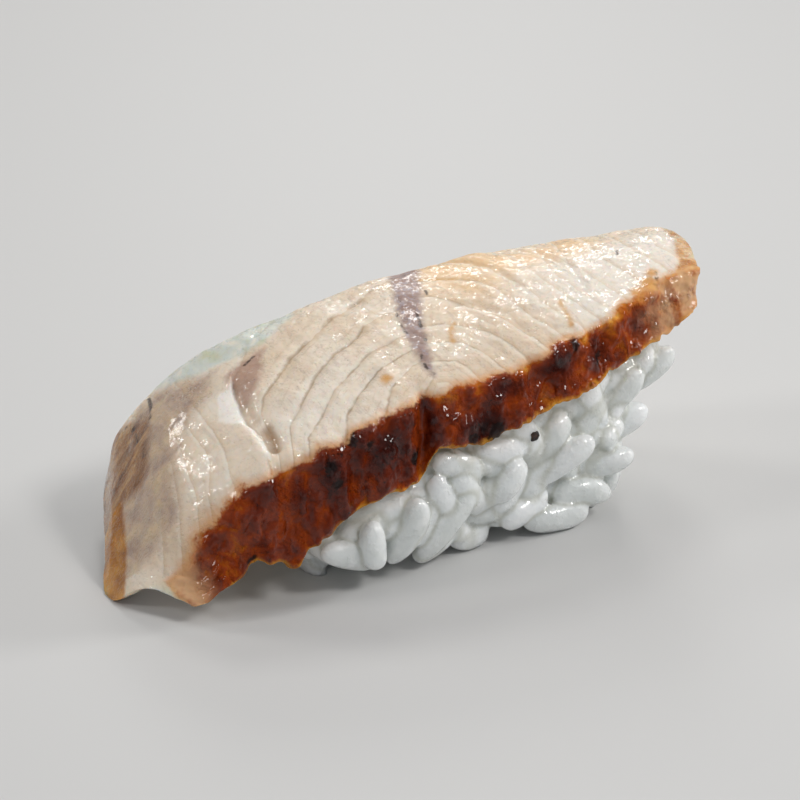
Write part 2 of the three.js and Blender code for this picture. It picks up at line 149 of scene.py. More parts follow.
# Lines between the flakes on the top, in two rows that the dark streak parts. Each line runs
# from the back to the front, and each row from left to right.
LEFT_FLAKES = [
    [(-34.0, 10.0), (-30.0, 2.0), (-31.0, -2.0), (-33.0, -6.0)],
    [(-28.0, 12.0), (-27.2, 5.0), (-27.9, 1.1), (-28.7, -0.8), (-29.8, -3.6), (-32.0, -8.0)],
    [(-25.6, 14.0), (-25.6, 6.0), (-26.2, 2.8), (-27.7, -1.7), (-28.6, -5.3), (-30.4, -9.5)],
    [(-23.4, 16.0), (-24.4, 6.0), (-25.4, -1.6), (-26.1, -3.9), (-27.9, -6.5), (-28.9, -10.0)],
    [(-21.0, 16.0), (-22.8, 6.0), (-23.6, -0.6), (-24.4, -4.0), (-25.6, -7.0), (-26.4, -11.0)],
    [(8.0, 12.0), (-8.0, 10.4), (-14.5, 8.0), (-18.9, 3.6), (-20.3, -0.7), (-20.8, -4.2),
     (-21.3, -7.4), (-23.0, -11.5)],
    [(8.0, 9.6), (0.9, 7.1), (-1.6, 6.1), (-6.0, 4.8), (-9.5, 3.3), (-12.6, 2.2), (-15.4, 0.4),
     (-18.1, -1.1), (-19.2, -2.6), (-19.6, -4.6), (-20.2, -7.2), (-21.8, -11.5)],
    [(8.0, 3.4), (0.8, 2.1), (-1.8, 1.9), (-3.9, 1.5), (-5.3, 0.5), (-8.9, -0.5), (-11.7, -1.8),
     (-15.6, -4.7), (-17.9, -6.3), (-20.4, -11.5)],
    [(6.0, -2.0), (-2.0, -2.4), (-5.4, -2.7), (-8.7, -4.0), (-11.4, -5.0), (-14.8, -7.4),
     (-17.2, -8.9), (-18.8, -12.0)],
    [(6.0, -4.4), (-3.0, -4.9), (-6.5, -5.6), (-7.9, -6.2), (-9.7, -7.0), (-12.3, -8.7), (-14.6, -12.0)],
    [(6.0, -6.4), (-3.0, -6.8), (-6.8, -8.6), (-7.5, -9.4), (-9.3, -11.4), (-10.0, -13.0)],
]
RIGHT_FLAKES = [
    [(-6.0, 1.0), (2.6, -2.6), (4.7, -3.6), (5.9, -4.6), (6.8, -6.2), (7.6, -7.9), (8.6, -13.0)],
    [(-2.0, 6.0), (5.0, 2.2), (7.5, -0.4), (8.7, -2.7), (9.4, -5.2), (10.2, -7.8), (11.2, -13.0)],
    [(0.0, 8.0), (6.5, 6.1), (8.5, 5.1), (9.8, 4.1), (11.6, 1.9), (12.2, -0.7), (12.3, -3.9),
     (12.5, -7.3), (13.9, -13.0)],
    [(9.0, 13.0), (11.4, 9.4), (13.0, 7.8), (14.2, 4.7), (14.6, 1.4), (15.1, -2.7), (14.7, -6.1),
     (16.4, -13.0)],
    [(14.0, 13.0), (18.0, 7.0), (18.5, 4.5), (17.8, 1.5), (17.4, -0.4), (17.6, -6.0), (18.6, -13.0)],
    [(18.0, 13.0), (21.6, 6.0), (20.8, 2.8), (19.8, 0.5), (19.1, -2.0), (19.4, -7.0), (20.6, -13.0)],
    [(22.0, 13.0), (24.6, 7.0), (24.1, 5.0), (22.7, 1.6), (22.1, -0.1), (22.0, -5.0), (23.0, -13.0)],
    [(25.0, 13.0), (27.6, 6.0), (26.4, 1.6), (25.4, -2.0), (25.6, -7.0), (26.6, -13.0)],
    [(28.0, 13.0), (30.8, 5.0), (29.8, 0.6), (29.0, -3.0), (30.0, -13.0)],
]
FLAKE_LINE = {"depth": 0.09, "width": 0.3, "beyond": 3.0}
# How clearly the lines show, at each X.
LINES_SHOW = ([-38, -26, -20, -10, 2, 10, 16, 38], [0.1, 0.25, 0.7, 1.0, 0.8, 0.5, 0.22, 0.12])
# Dark threads, scratches and veins, as strokes on the top.
DARK_STROKES = [
    [(-25.6, 9.9), (-24.7, 11.3), (-23.9, 13.5)],
    [(-26.6, 13.9), (-26.6, 12.0), (-27.6, 9.4)],
    [(-16.6, 5.2), (-15.2, 5.5)],
    [(-29.6, -7.5), (-29.2, -8.3), (-28.6, -9.0), (-28.2, -9.8)],
    [(3.4, 2.6), (2.3, 0.4), (1.6, -1.3), (0.4, -4.3)],
    [(0.4, 1.6), (-0.4, -0.8), (-0.6, -2.0)],
    [(-1.4, -6.1), (-2.0, -8.0), (-1.7, -9.3)],
    [(28.1, -8.2), (27.4, -9.3), (27.2, -10.0)],
    [(5.8, 4.3), (5.1, 2.6)],
    [(27.8, -1.4), (27.3, -2.2)],
]
GOLDEN_STROKES = [
    [(16.6, -6.2), (16.1, -7.6), (15.7, -9.0), (15.2, -10.4)],
    [(4.7, -3.4), (3.4, -4.4), (2.8, -5.9)],
    [(6.5, 6.1), (8.5, 5.1), (9.8, 4.1)],
]

# The torn gap: its edge, where a flake stands up on the left, and the hollow on the right, which is sunk
# and darkened with a painted shadow.
TEAR_EDGE = [(-18.9, 3.6), (-19.4, 2.7), (-19.7, 1.2), (-20.3, -0.7), (-21.0, -2.6), (-20.8, -4.2),
             (-21.0, -5.8), (-21.3, -7.4), (-21.7, -8.8)]
TEAR_HOLLOW = [(-19.7, -4.8), (-19.9, -6.3), (-20.6, -8.0)]
TEAR_FLOOR = [(-19.4, -0.2), (-19.8, -1.4), (-19.9, -2.8)]

# The dark line of flesh that crosses the slice: centre (x, y) and half-width.
STREAK = [
    (6.6, 10.6, 1.9),
    (5.9, 8.6, 1.8),
    (4.4, 5.8, 1.7),
    (1.9, 1.1, 1.35),
    (-0.1, -3.0, 1.1),
    (-1.2, -6.2, 0.7),
    (-2.0, -9.2, 0.25),
]
# Outlines on the top: the dark wedge of flesh, the back bevel with its painted pearly sheen of the back
# light, the glazed back corner and left end, the amber rim of that end, the toasted cap at the right end,
# the torn-up flake.
WEDGE = [(-18.8, 5.6), (-16.5, 6.1), (-13.7, 5.9), (-16.7, 1.3), (-19.8, -0.5), (-19.5, 2.8)]
PAINTED_SHEEN_BEVEL = [(-20.6, 9.6), (-19.3, 8.7), (-16.1, 6.9), (-13.2, 6.6), (-11.2, 7.4), (-8.6, 8.3),
         (-5.0, 13.5), (-14.0, 18.0), (-24.0, 18.0), (-23.0, 12.0)]
GLAZED_CORNER = [(-25.4, 10.2), (-26.4, 8.5), (-28.7, 4.3), (-30.3, 3.8), (-31.6, 5.6), (-36.0, 6.5),
                 (-40.0, 20.0), (-27.0, 20.0)]
GLAZED_END = [(-18.8, 7.6), (-20.6, 4.9), (-23.4, 3.9), (-26.3, 2.0), (-27.8, 0.2), (-29.7, -4.1),
              (-31.2, -5.5), (-33.3, -4.2), (-36.5, -3.0), (-35.0, 8.0), (-25.0, 14.0), (-21.0, 10.0)]
AMBER_END = [(-31.3, 6.4), (-33.7, 0.9), (-35.2, -1.5), (-36.2, -3.0), (-42.0, -3.0), (-42.0, 9.0)]
CAP_FACET = [(36.4, 1.5), (34.7, -2.6), (32.6, -5.9), (30.2, -9.3), (28.5, -14.0), (42.0, -14.0),
             (42.0, 9.0), (37.0, 9.0)]
SPIKE = [(-18.9, 3.4), (-19.7, 3.7), (-20.7, 3.9), (-22.6, 0.5), (-22.0, -1.5), (-20.7, -2.6),
         (-20.0, -0.9), (-19.7, 0.8)]
GOLDEN_SPOTS = [  # x, y, half-size
    (-6.5, -7.1, 0.5),
    (24.6, -9.9, 0.9),
    (26.4, -9.2, 1.1),
    (27.6, -8.0, 0.6),
]

# Patches of the crust's wall that are browner: x, height share, half-length, half-height,
# depth of browning.
BROWNED = [
    (-9.6, 0.62, 4.0, 0.42, 0.95),
    (-6.9, 0.32, 1.8, 0.3, 0.55),
    (-3.9, 0.6, 0.8, 0.6, 0.75),
    (4.6, 0.8, 2.6, 0.26, 0.8),
    (1.6, 0.3, 3.4, 0.2, 0.95),
    (11.4, 0.74, 2.7, 0.34, 1.0),
    (17.2, 0.62, 2.0, 0.4, 0.7),
    (14.4, 0.98, 2.0, 0.14, 0.6),
    (-16.6, 0.74, 1.9, 0.3, 0.75),
    (-24.0, 0.8, 2.2, 0.3, 0.6),
    (-20.0, 0.6, 1.4, 0.3, 0.4),
    (22.4, 0.85, 1.6, 0.25, 0.35),
    (-15.0, 0.5, 8.0, 0.7, 0.35),
]
CHARRED = [  # x, height share, half-size in mm
    (17.1, 0.41, 0.55),
    (3.2, 0.14, 0.9),
    (0.2, 0.16, 0.6),
    (-6.3, 0.4, 0.7),
    (-16.0, 0.58, 0.5),
    (-16.4, 0.8, 0.6),
    (-13.4, 0.92, 0.5),
    (14.1, 0.9, 0.5),
    (-25.6, 0.12, 0.4),
    (-11.8, 0.8, 0.4),
]

# Where marks fade in, from the first number (0) to the second (1): X in mm, or shares from
# front to back and from bottom to top.
FADES = {
    "on_top": (0.55, 0.95),
    "on_crust": (-0.2, 0.8),  # mm into the crust
    "spike": (-0.1, 0.3),  # mm into the torn-up flake
    "lip": (0.8, 1.0),
    "at_foot": (-2, -1),  # mm that the crust reaches in on the top
    "white_right": (10, 20),
    "white_front": (0.8, 0.5),
    "border_amber": (-8, 6),
    "pale_right": (22, 30),
    "pale_left": (-29, -32),
    "warm_left": (2, 12),
    "warm_right": (32, 24),
    "warm_back": (0.35, 0.75),
    "skin_back": (0.96, 0.995),
    "skin_below": (0.1, 0.3),
    "skin_above": (0.0, 0.1),
}
FAR = 9.0  # mm: out of reach of every mark
SECOND_ROW = 20  # added to the numbers of the flakes right of the streak
CRUST_AT_FOOT = 0.7  # mm that the crust reaches in at the foot, where it reaches the top at all
FRONT_WALL = 0.05  # share of the width that the crust's wall takes
WHITE_PATCH = {"x": -15, "half": 8, "across": 0.2, "width": 0.2}
BORDER_AMBER = {"least": 0.14, "more": 0.16}
LEAST_WARMTH = 0.12

# Fine relief: depth and size in mm, seed and octaves of its noise.
FINE_RELIEF = {
    "lumps": (0.3, 2.8, 21, 3),
    "crags": (0.24, 1.1, 25, 2),
    "border_beads": (1.0, 1.3, 27, 2),
    "swells": (0.07, 1.7, 31, 3),
    "grain": (0.025, 0.5, 35, 1),
}
LUMP_STRETCH = (1.0, 1.0, 0.7)
LUMPS_SUNK = 0.1
# The crust swells where it meets the flesh: how far in, half-width, rise, and the even share.
BORDER_RIDGE = {"in": 0.6, "width": 0.6, "rise": 0.25, "even": 0.6}
# The tear: its width, the rise, fade and reach of its lip, and the depths of hollow and floor.
TORN = {"width": 0.6, "lip": 0.45, "lip_fade": 2.0, "lip_reach": 5, "hollow": 0.35, "floor": 0.2}
# How white the crisp edge of the lip is, its width, and how white the torn-up flake is.
CRISP = {"edge": 0.7, "width": 0.4, "spike": 0.6}
FULL_LUMP = 0.4  # mm of relief that the crust's colour takes as 1

# ---- The rice, in mm ---------------------------------------------------------------------

GAP = 0.42
BLOCK = {
    "height": 21, "left": -16.5, "right": 19.8, "right_rake": 0.42, "right_skew": 3.5,
    "front": -10.6, "back": 8.4, "bulge": 1.2, "bulge_high": 12, "foot": 2.2, "foot_high": 5,
}
# Its front and back run askew, by a slope in mm per mm of X: the front from an offset at the
# right to the most that it comes forward, and the back from an X on.
FRONT_SKEW = {"slope": 0.05, "from": -0.4, "most": -1.6}
BACK_SKEW = {"slope": 0.06, "from": 14}
BLOCK_ROUNDING = {"end": 0.13, "side": 0.3, "floor": 0.08, "top": 0.01}
GRAIN = {"long": 7.2, "wide": 3.1, "thick": 2.7}
GRAIN_SPREAD = 0.16
# Its form: how blunt its ends and how square its section are, and its taper. Then how each
# grain differs: its middle slid along, its dents, its bend and its taper.
GRAIN_FORM = {"blunt": 2.6, "square": 2.5, "taper": 0.08}
GRAIN_CHANGE = {"slide": 0.05, "dents": 0.1, "bend": 0.16, "taper": 0.22}
# Two lays of grains in rows round the block's wall: height of the first row, spacing along a
# row, how far they stand out, rows, the room that they leave to the shown grains, and the
# furthest that one is lowered to clear the slice.
OUTER_LAY = {"first": 1.6, "along": 4.3, "out": 0.1, "rows": 6, "room": 2.7, "drop": 1.5}
INNER_LAY = {"first": 3.1, "along": 4.4, "out": -1.1, "rows": 5, "room": 1.5, "drop": 2.5}
ROW_STEP = 3.1
# What chance gives a grain of the wall: where its row starts, its lie as a share of half a
# turn, its swing out of the wall, how far it stands out, and the least and the added spacing.
WALL_CHANCE = {"start": 0.1, "lie": 0.9, "swing": 0.7, "out": 0.8, "spacing": (0.85, 0.3)}
WALL_LENGTHS = (42, 21)  # of the block's long and short sides, for the spacing
NUDGE = 0.02  # share of a side, either way, that gives the wall's direction
OUTER_SEED = 11
# Grains that lie flat in the foot: how many along and across, the middle of the first one,
# their spacing and how far they stray from it.
FOOT_LAY = {"count": (9, 6), "first": (-11.0, -7.4, 1.25), "step": (3.6, 2.9), "stray": (1.6, 1.0, 0.3)}
FOOT_TILT = 0.2
# The pressed heart: its share of the block about a middle, its lowest point and its cells.
CORE = {"middle": (4.0, -1.0, 0.0), "share": (0.965, 0.92, 1.0), "lowest": 0.6, "cells": (48, 28, 20)}
# Grains that stand out at the front: middle, degrees up from +X in the wall's plane, degrees
# out of that plane, length.
SHOWN_GRAINS = [
    ((-12.4, -13.9, 7.1), 89, 8, 5.5),
    ((-7.9, -13.4, 6.2), 67, -10, 8.2),
    ((-3.1, -13.4, 4.7), 45, -6, 9.2),
    ((-3.6, -12.3, 2.6), 24, 4, 6.4),
    ((0.2, -12.8, 7.3), -57, 6, 6.6),
    ((1.2, -11.4, 1.5), -4, 10, 5.6),
    ((-14.4, -12.6, 4.0), -22, 0, 7.8),
    ((5.3, -13.2, 7.7), 52, 0, 5.4),
    ((-0.5, -12.2, 11.0), -24, 4, 7.6),
    ((3.3, -11.6, 4.0), -10, 0, 6.6),
    ((12.7, -12.9, 8.0), 37, -12, 8.2),
    ((9.6, -12.0, 6.2), 62, 0, 6.2),
    ((19.0, -12.3, 5.9), 19, -22, 6.4),
    ((15.4, -12.9, 3.4), -8, -10, 7.2),
    ((7.9, -12.5, 3.3), 20, 6, 6.8),
    ((11.6, -13.2, 1.5), -1, -6, 8.2),
    ((26.0, -10.0, 14.4), 37, -16, 7.6),
    ((22.0, -10.4, 12.8), 42, -10, 7.0),
    ((23.2, -9.8, 8.8), 33, -20, 6.0),
    ((16.8, -11.2, 11.0), 56, 0, 6.4),
    ((11.4, -11.8, 10.4), 47, 0, 6.8),
    ((5.2, -12.0, 10.9), -2, 0, 6.4),
    ((19.0, -11.1, 8.6), 24, -6, 6.0),
]
PRESSED = {"before": 0.6, "gap": 0.1}  # where the slice flattens the grains, and its gap there
GRAIN_TIP = 1.2  # from the end of a grain to the middle of its rounding
TESTED_AT = (-0.3, 0, 0.3)  # shares of a grain's length where it is held clear of the slice
TONE = {"middle": 0.4, "spread": 0.4}  # of the grains, from clear white to deep
LOWEST_GRAIN = 0.9
BARE_FOOT = {"below": 3.2, "left_of": -5.0, "before": -6.0}  # no loose grains there
CRUMB = {
    "at": (8.7, -12.9, 12.0), "size": 1.1, "shape": (1.0, 0.7, 0.95),
    "cells": (8, 8, 8), "rounding": 0.25, "dents": 0.25,
}

# ---- The view, in mm and degrees ---------------------------------------------------------

CAMERA = {"at": (-163.1, -251.0, 153.0), "azimuth": -33, "elevation": 25, "lens": 136.4, "sensor": 36}
NEAREST_SEEN = 0.01  # metres from the camera

# Square soft lights: place and side in metres, power in watts, and tint.
SOFTBOXES = {
    "key_softbox": ((-0.24, 0.4, 0.31), 0.15, 0.6, (1.0, 0.98, 0.95)),
    "left_softbox": ((-0.42, 0.15, 0.31), 0.11, 0.5, (1.0, 0.98, 0.95)),
    "high_softbox": ((0.22, 0.3, 0.44), 0.11, 0.4, (1.0, 0.98, 0.95)),
    "back_softbox": ((0.3, 0.46, 0.28), 0.15, 0.45, (1.0, 0.98, 0.95)),
    "top_softbox": ((0.2, -0.32, 0.42), 0.12, 1.0, (1.0, 0.98, 0.96)),
    "side_softbox": ((0.42, -0.12, 0.22), 0.1, 0.8, (1.0, 0.99, 0.98)),
    "overhead": ((0.05, 0.0, 0.55), 0.4, 0.25, (1.0, 0.99, 0.97)),
    "front_fill": ((-0.4, -0.5, 0.3), 0.6, 0.5, (0.95, 0.98, 1.0)),
}
AIMED_AT = (0.0, 0.0, 0.012)
ROOM_TINT = (0.9, 0.93, 1.0, 1.0)

# ---- Tints, from 0 to 255 as a picture program shows them --------------------------------

TINTS = {
    # Flesh
    "flesh": (224, 208, 188),
    "warm_flesh": (230, 196, 154),
    "pale_flesh": (236, 229, 217),
    "tan_mottle": (214, 190, 162),
    "white_flesh": (238, 233, 224),
    "fibre": (172, 152, 136),
    # Painted shade behind each flake line, under the overlapping flake, and a painted highlight just before
    # it
    "behind_line": (206, 178, 142),
    "before_line": (244, 238, 226),
    "flake_line": (164, 136, 104),
    "finer_line": (184, 158, 128),
    "wedge": (166, 128, 112),
    "dark_meat": (134, 104, 104),
    "lilac": (172, 164, 172),
    "meat_speck": (54, 46, 52),
    # A painted pearly sheen of the back light on the back bevel, greenish to cream
    "green_pearl": (198, 202, 176),
    "blue_pearl": (204, 212, 206),
    "cream_pearl": (228, 226, 212),
    "dark_stain": (152, 122, 108),
    "stain": (184, 156, 134),
    "light_stain": (204, 176, 138),
    "dark_corner": (92, 58, 34),
    "corner": (148, 104, 66),
    "light_corner": (190, 150, 104),
    "dark_honey": (150, 92, 24),
    "honey": (190, 130, 48),
    "light_honey": (206, 156, 84),
    "tear_floor": (206, 182, 156),
    # Painted shadow in the tear's hollow
    "hollow": (166, 130, 94),
    "crisp": (250, 249, 246),
    "dark_toast": (196, 128, 58),
    "toast": (220, 168, 108),
    "light_toast": (236, 208, 168),
    "gold": (208, 148, 58),
    "thread": (58, 44, 40),
    "golden_crack": (204, 150, 66),
    "fleck": (110, 92, 78),
    "halo": (214, 150, 80),
    "dark_silver": (128, 112, 104),
    "silver": (176, 166, 156),
    "light_silver": (206, 190, 160),
    # Crust
    "yellow_crust": (232, 166, 70),
    "amber_crust": (192, 106, 26),
    "russet_crust": (144, 56, 8),
    "red_crust": (106, 36, 10),
    "dark_crust": (68, 16, 4),
    "black_crust": (34, 10, 6),
    "golden_rim": (222, 164, 62),
    "pale_crust": (222, 180, 136),
    "char": (22, 12, 10),
    "soot": (26, 12, 9),
    # Rice
    "rice": (238, 241, 241),
    "deep_rice": (212, 216, 213),
    "cloudy_rice": (250, 251, 250),
    # Painted shade in the seams between the grains
    "rice_seam": (192, 192, 178),
    # The crumb and the table
    "black_crumb": (14, 10, 8),
    "brown_crumb": (52, 30, 18),
    "tan_crumb": (96, 58, 30),
    "table": (204, 204, 203),
    "table_cloud": (196, 194, 190),
}


# ---- Shape functions ---------------------------------------------------------------------


def smooth_through(places, values):
    """A smooth curve through stations of growing place, which never overshoots them."""
    place = np.array(places, float)
    value = np.array(values, float)
    span = np.diff(place)
    slope = np.diff(value) / span
    tangent = np.zeros_like(value)
    tangent[0] = slope[0]
    tangent[-1] = slope[-1]
    for i in range(1, len(place) - 1):
        if slope[i - 1] * slope[i] > 0:
            tangent[i] = 2 * slope[i - 1] * slope[i] / (slope[i - 1] + slope[i])

    def curve(position):
        p = np.clip(position, place[0], place[-1])
        i = np.clip(np.searchsorted(place, p, side="right") - 1, 0, len(place) - 2)
        t = (p - place[i]) / span[i]
        rise = t * t * (3 - 2 * t)
        start = t * (1 - t) ** 2 * span[i] * tangent[i]
        end = t * t * (t - 1) * span[i] * tangent[i + 1]
        return value[i] * (1 - rise) + value[i + 1] * rise + start + end

    return curve


CURVE = {name: smooth_through(SECTION_X, values) for name, values in SECTIONS.items()}
left_end = smooth_through(*LEFT_END)
right_end = smooth_through(*RIGHT_END)
crust_reach = smooth_through(*CRUST_REACH)
lines_show = smooth_through(*LINES_SHOW)


def mix(low, high, share):
    return low * (1 - share) + high * share


def bell(distance, width):
    return np.exp(-((distance / width) ** 2))


def soft_step(value, low, high):
    t = np.clip((value - low) / (high - low), 0, 1)
    return t * t * (3 - 2 * t)


def lattice_value(i, j, seed):
    wave = np.sin(i * 127.1 + j * 311.7 + seed * 74.7) * 43758.5453
    return 2 * (wave - np.floor(wave)) - 1


def noise(x, y, seed):
    """Smooth noise from -1 to 1 on a grid of unit cells: the frame's own."""
    i = np.floor(x)
    j = np.floor(y)
    u = soft_step(x - i, 0, 1)
    v = soft_step(y - j, 0, 1)
    near = mix(lattice_value(i, j, seed), lattice_value(i + 1, j, seed), u)
    far = mix(lattice_value(i, j + 1, seed), lattice_value(i + 1, j + 1, seed), u)
    return mix(near, far, v)


def hashed(cell, seed):
    """A number from -1 to 1 for each row of whole numbers."""
    mask = np.uint64(0xFFFFFFFF)
    mixed = np.full(len(cell), seed * 1274126177 + 12345, np.uint64)
    for k, prime in enumerate((374761393, 668265263, 2246822519)):
        mixed = (mixed + cell[:, k].astype(np.int64).astype(np.uint64) * np.uint64(prime)) & mask
        mixed = ((mixed ^ (mixed >> np.uint64(13))) * np.uint64(1274126177)) & mask
    mixed = mixed ^ (mixed >> np.uint64(16))
    return (mixed & np.uint64(0xFFFFFF)).astype(float) / 0xFFFFFF * 2 - 1


def grainy(points, size, seed, octaves=3):
    """Smooth noise in space, from about -1 to 1, with detail down from the given size."""
    total = np.zeros(len(points))
    weight = 1.0
    for octave in range(octaves):
        place = points * (2**octave / size) + seed * 7.31
        cell = np.floor(place)
        f = place - cell
        f = f * f * (3 - 2 * f)
        value = np.zeros(len(points))
        for corner in np.ndindex(2, 2, 2):
            share = np.prod(np.where(corner, f, 1 - f), axis=1)
            value += share * hashed(cell + corner, seed + octave)
        total += value * weight
        weight *= 0.5
    return total


def stroke_distance(x, y, path):
    """Distance in plan to a path of points, and on which side of it: 1 is its left."""
    nearest = np.full(x.shape, 1e9)
    side = np.ones(x.shape)
    for (ax, ay), (bx, by) in zip(path, path[1:]):
        along = np.array([bx - ax, by - ay])
        t = np.clip(((x - ax) * along[0] + (y - ay) * along[1]) / (along @ along), 0, 1)
        distance = np.hypot(x - mix(ax, bx, t), y - mix(ay, by, t))
        turn = np.sign(along[0] * (y - ay) - along[1] * (x - ax))
        side = np.where(distance < nearest, turn, side)
        nearest = np.minimum(nearest, distance)
    return nearest, side


def nearest_stroke(x, y, strokes):
    return np.min([stroke_distance(x, y, path)[0] for path in strokes], axis=0)


def nearest_spot(x, y, spots, height):
    """Distance to the rim of the nearest spot, with y as a share of the given height."""
    rims = [np.hypot(x - at_x, (y - at_y) * height) - size for at_x, at_y, size in spots]
    return np.minimum(np.min(rims, axis=0), FAR)


def place_in_row(x, y, lines):
    """Where points lie in a row of lines: 1.25 is a quarter of the way from line 1 to line 2.

    Also returns the distance to the nearest line.
    """
    offset = [np.multiply(*stroke_distance(x, y, path)) for path in lines]
    step = FLAKE_LINE["beyond"]
    place = np.where(offset[0] < 0, offset[0] / step, len(lines) - 1 + offset[-1] / step)
    for k, (here, there) in enumerate(zip(offset, offset[1:])):
        between = (here >= 0) & (there < 0)
        gap = np.where(between, here - there, 1)
        place = np.where(between, k + here / gap, place)
    return place, np.min(np.abs(offset), axis=0)


def outside_of(x, y, outline):
    """Distance in plan to a closed outline, negative inside it."""
    ring = outline + outline[:1]
    distance = stroke_distance(x, y, ring)[0]
    inside = np.zeros(x.shape, bool)
    for (ax, ay), (bx, by) in zip(ring, ring[1:]):
        crosses = (ay > y) != (by > y)
        reach = ax + (y - ay) * (bx - ax) / (by - ay if by != ay else 1e-9)
        inside ^= crosses & (x < reach)
    return np.where(inside, -distance, distance)


def outside_of_band(x, y, band):
    """Distance in plan to a band along a path whose half-width changes, negative inside it."""
    best = np.full(x.shape, 1e9)
    for (ax, ay, aw), (bx, by, bw) in zip(band, band[1:]):
        length2 = (bx - ax) ** 2 + (by - ay) ** 2
        t = np.clip(((x - ax) * (bx - ax) + (y - ay) * (by - ay)) / length2, 0, 1)
        distance = np.hypot(x - mix(ax, bx, t), y - mix(ay, by, t)) - mix(aw, bw, t)
        best = np.minimum(best, distance)
    return best


# ---- Mesh helpers ------------------------------------------------------------------------


def box_grid(cells):
    """Corners, from 0 to 1, and faces of a unit cube's skin, cut into cells each way."""
    count = np.array(cells)
    steps = np.meshgrid(*[np.arange(n + 1) for n in count], indexing="ij")
    on_skin = np.zeros(count + 1, bool)
    for step, n in zip(steps, count):
        on_skin |= (step == 0) | (step == n)
    index = np.full(count + 1, -1)
    index[on_skin] = np.arange(on_skin.sum())
    corners = np.stack(steps, -1)[on_skin] / count
    faces = []
    for axis in range(3):
        for side in (0, count[axis]):
            face = np.take(index, side, axis=axis)
            ring = [face[:-1, :-1], face[1:, :-1], face[1:, 1:], face[:-1, 1:]]
            quads = np.stack(ring, -1).reshape(-1, 4)
            outward = (side > 0) != (axis == 1)
            faces.append(quads if outward else quads[:, ::-1])
    return corners, np.concatenate(faces)


def round_cube(points, low, high):
    """Rounds the edges of the unit cube by a share of its size at each side."""
    inner = np.clip(points, low, 1 - high)
    reach = np.where(points < inner, low, high)
    out = (points - inner) / reach
    size = np.maximum(1, np.linalg.norm(out, axis=1, keepdims=True))
    return inner + out / size * reach


def surface_normals(points, faces):
    """The direction out of the surface at each point."""
    a, b, c, d = (points[faces[:, k]] for k in range(4))
    across = np.cross(c - a, d - b)
    normals = np.zeros_like(points)
    for k in range(4):
        np.add.at(normals, faces[:, k], across)
    return normals / np.maximum(np.linalg.norm(normals, axis=1, keepdims=True), 1e-12)


def melted_together(points, faces, cell, soft):
    """Points and faces of one closed skin round closed forms that overlap."""
    mesh = bpy.data.meshes.new("melting")
    mesh.from_pydata(points.tolist(), [], faces)
    forms = bpy.data.objects.new("melting", mesh)
    bpy.context.scene.collection.objects.link(forms)
    melt = forms.modifiers.new("melt", "REMESH")
    melt.mode = "VOXEL"
    melt.voxel_size = cell
    soften = forms.modifiers.new("soften", "SMOOTH")
    soften.factor = 0.5
    soften.iterations = soft
    skin = forms.evaluated_get(bpy.context.evaluated_depsgraph_get()).to_mesh()
    skin_points = np.zeros(len(skin.vertices) * 3)
    skin.vertices.foreach_get("co", skin_points)
    skin_faces = [tuple(face.vertices) for face in skin.polygons]
    bpy.data.objects.remove(forms)
    bpy.data.meshes.remove(mesh)
    return skin_points.reshape(-1, 3), skin_faces


def make_piece(name, points, faces, marks, material, replaced=None):
    """A smooth-shaded object from points in mm, with one number per point for each mark."""
    mesh = bpy.data.meshes.new(name)
    placed = np.clip((np.asarray(points) - MIDDLE) * MM, *CAD_BOX)
    mesh.from_pydata(placed.tolist(), [], [list(face) for face in faces])
    mesh.polygons.foreach_set("use_smooth", [True] * len(mesh.polygons))
    for mark, values in marks.items():
        attribute = mesh.attributes.new(mark, "FLOAT", "POINT")
        attribute.data.foreach_set("value", np.asarray(values, np.float32))
    mesh.materials.append(material)
    mesh.update()
    piece = bpy.data.objects.new(name, mesh)
    bpy.context.scene.collection.objects.link(piece)
    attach(piece, "root")
    if replaced:
        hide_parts(replaced)
    return piece


# ---- Shader helpers ----------------------------------------------------------------------


def feed(tree, socket, term):
    """Links a term into a socket, or sets the socket to it."""
    if isinstance(term, Term):
        tree.links.new(term.socket, socket)
    elif isinstance(term, bpy.types.NodeSocket):
        tree.links.new(term, socket)
    else:
        socket.default_value = term


class Term:
    """A number in a shader, so that maths on it reads as Python."""

    def __init__(self, tree, socket):
        self.tree = tree
        self.socket = socket

    def math(self, operation, *terms):
        node = self.tree.nodes.new("ShaderNodeMath")
        node.operation = operation
        for socket, term in zip(node.inputs, terms):
            feed(self.tree, socket, term)
        return Term(self.tree, node.outputs[0])

    def __add__(self, other):
        return self.math("ADD", self, other)

    def __radd__(self, other):
        return self.math("ADD", other, self)

    def __sub__(self, other):
        return self.math("SUBTRACT", self, other)

    def __rsub__(self, other):
        return self.math("SUBTRACT", other, self)

    def __mul__(self, other):
        return self.math("MULTIPLY", self, other)

    def __rmul__(self, other):
        return self.math("MULTIPLY", other, self)

    def __abs__(self):
        return self.math("ABSOLUTE", self)

    def part(self):
        """What is left of it over a whole number."""
        return self.math("FRACT", self)

    def least(self, other):
        return self.math("MINIMUM", self, other)

    def most(self, other):
        return self.math("MAXIMUM", self, other)

    def between(self, start, end):
        """0 at start, 1 at end, smooth between them and flat beyond."""
        node = self.tree.nodes.new("ShaderNodeMapRange")
        node.interpolation_type = "SMOOTHSTEP"
        feed(self.tree, node.inputs["Value"], self)
        node.inputs["From Min"].default_value = start
        node.inputs["From Max"].default_value = end
        return Term(self.tree, node.outputs["Result"])


def shade(red, green, blue):
    """A colour as a picture program shows it, from 0 to 255, as the light it stands for."""
    light = [((c / 255 + 0.055) / 1.055) ** 2.4 if c > 10 else c / 3294.6 for c in (red, green, blue)]
    return (*light, 1.0)


def tints_with(settings=None):
    """The palette as light, with the colours that the settings hold under the same names."""
    tints = {name: shade(*tint) for name, tint in TINTS.items()}
    for name in tints:
        if hasattr(settings, name):
            tints[name] = (*getattr(settings, name), 1.0)
    return tints


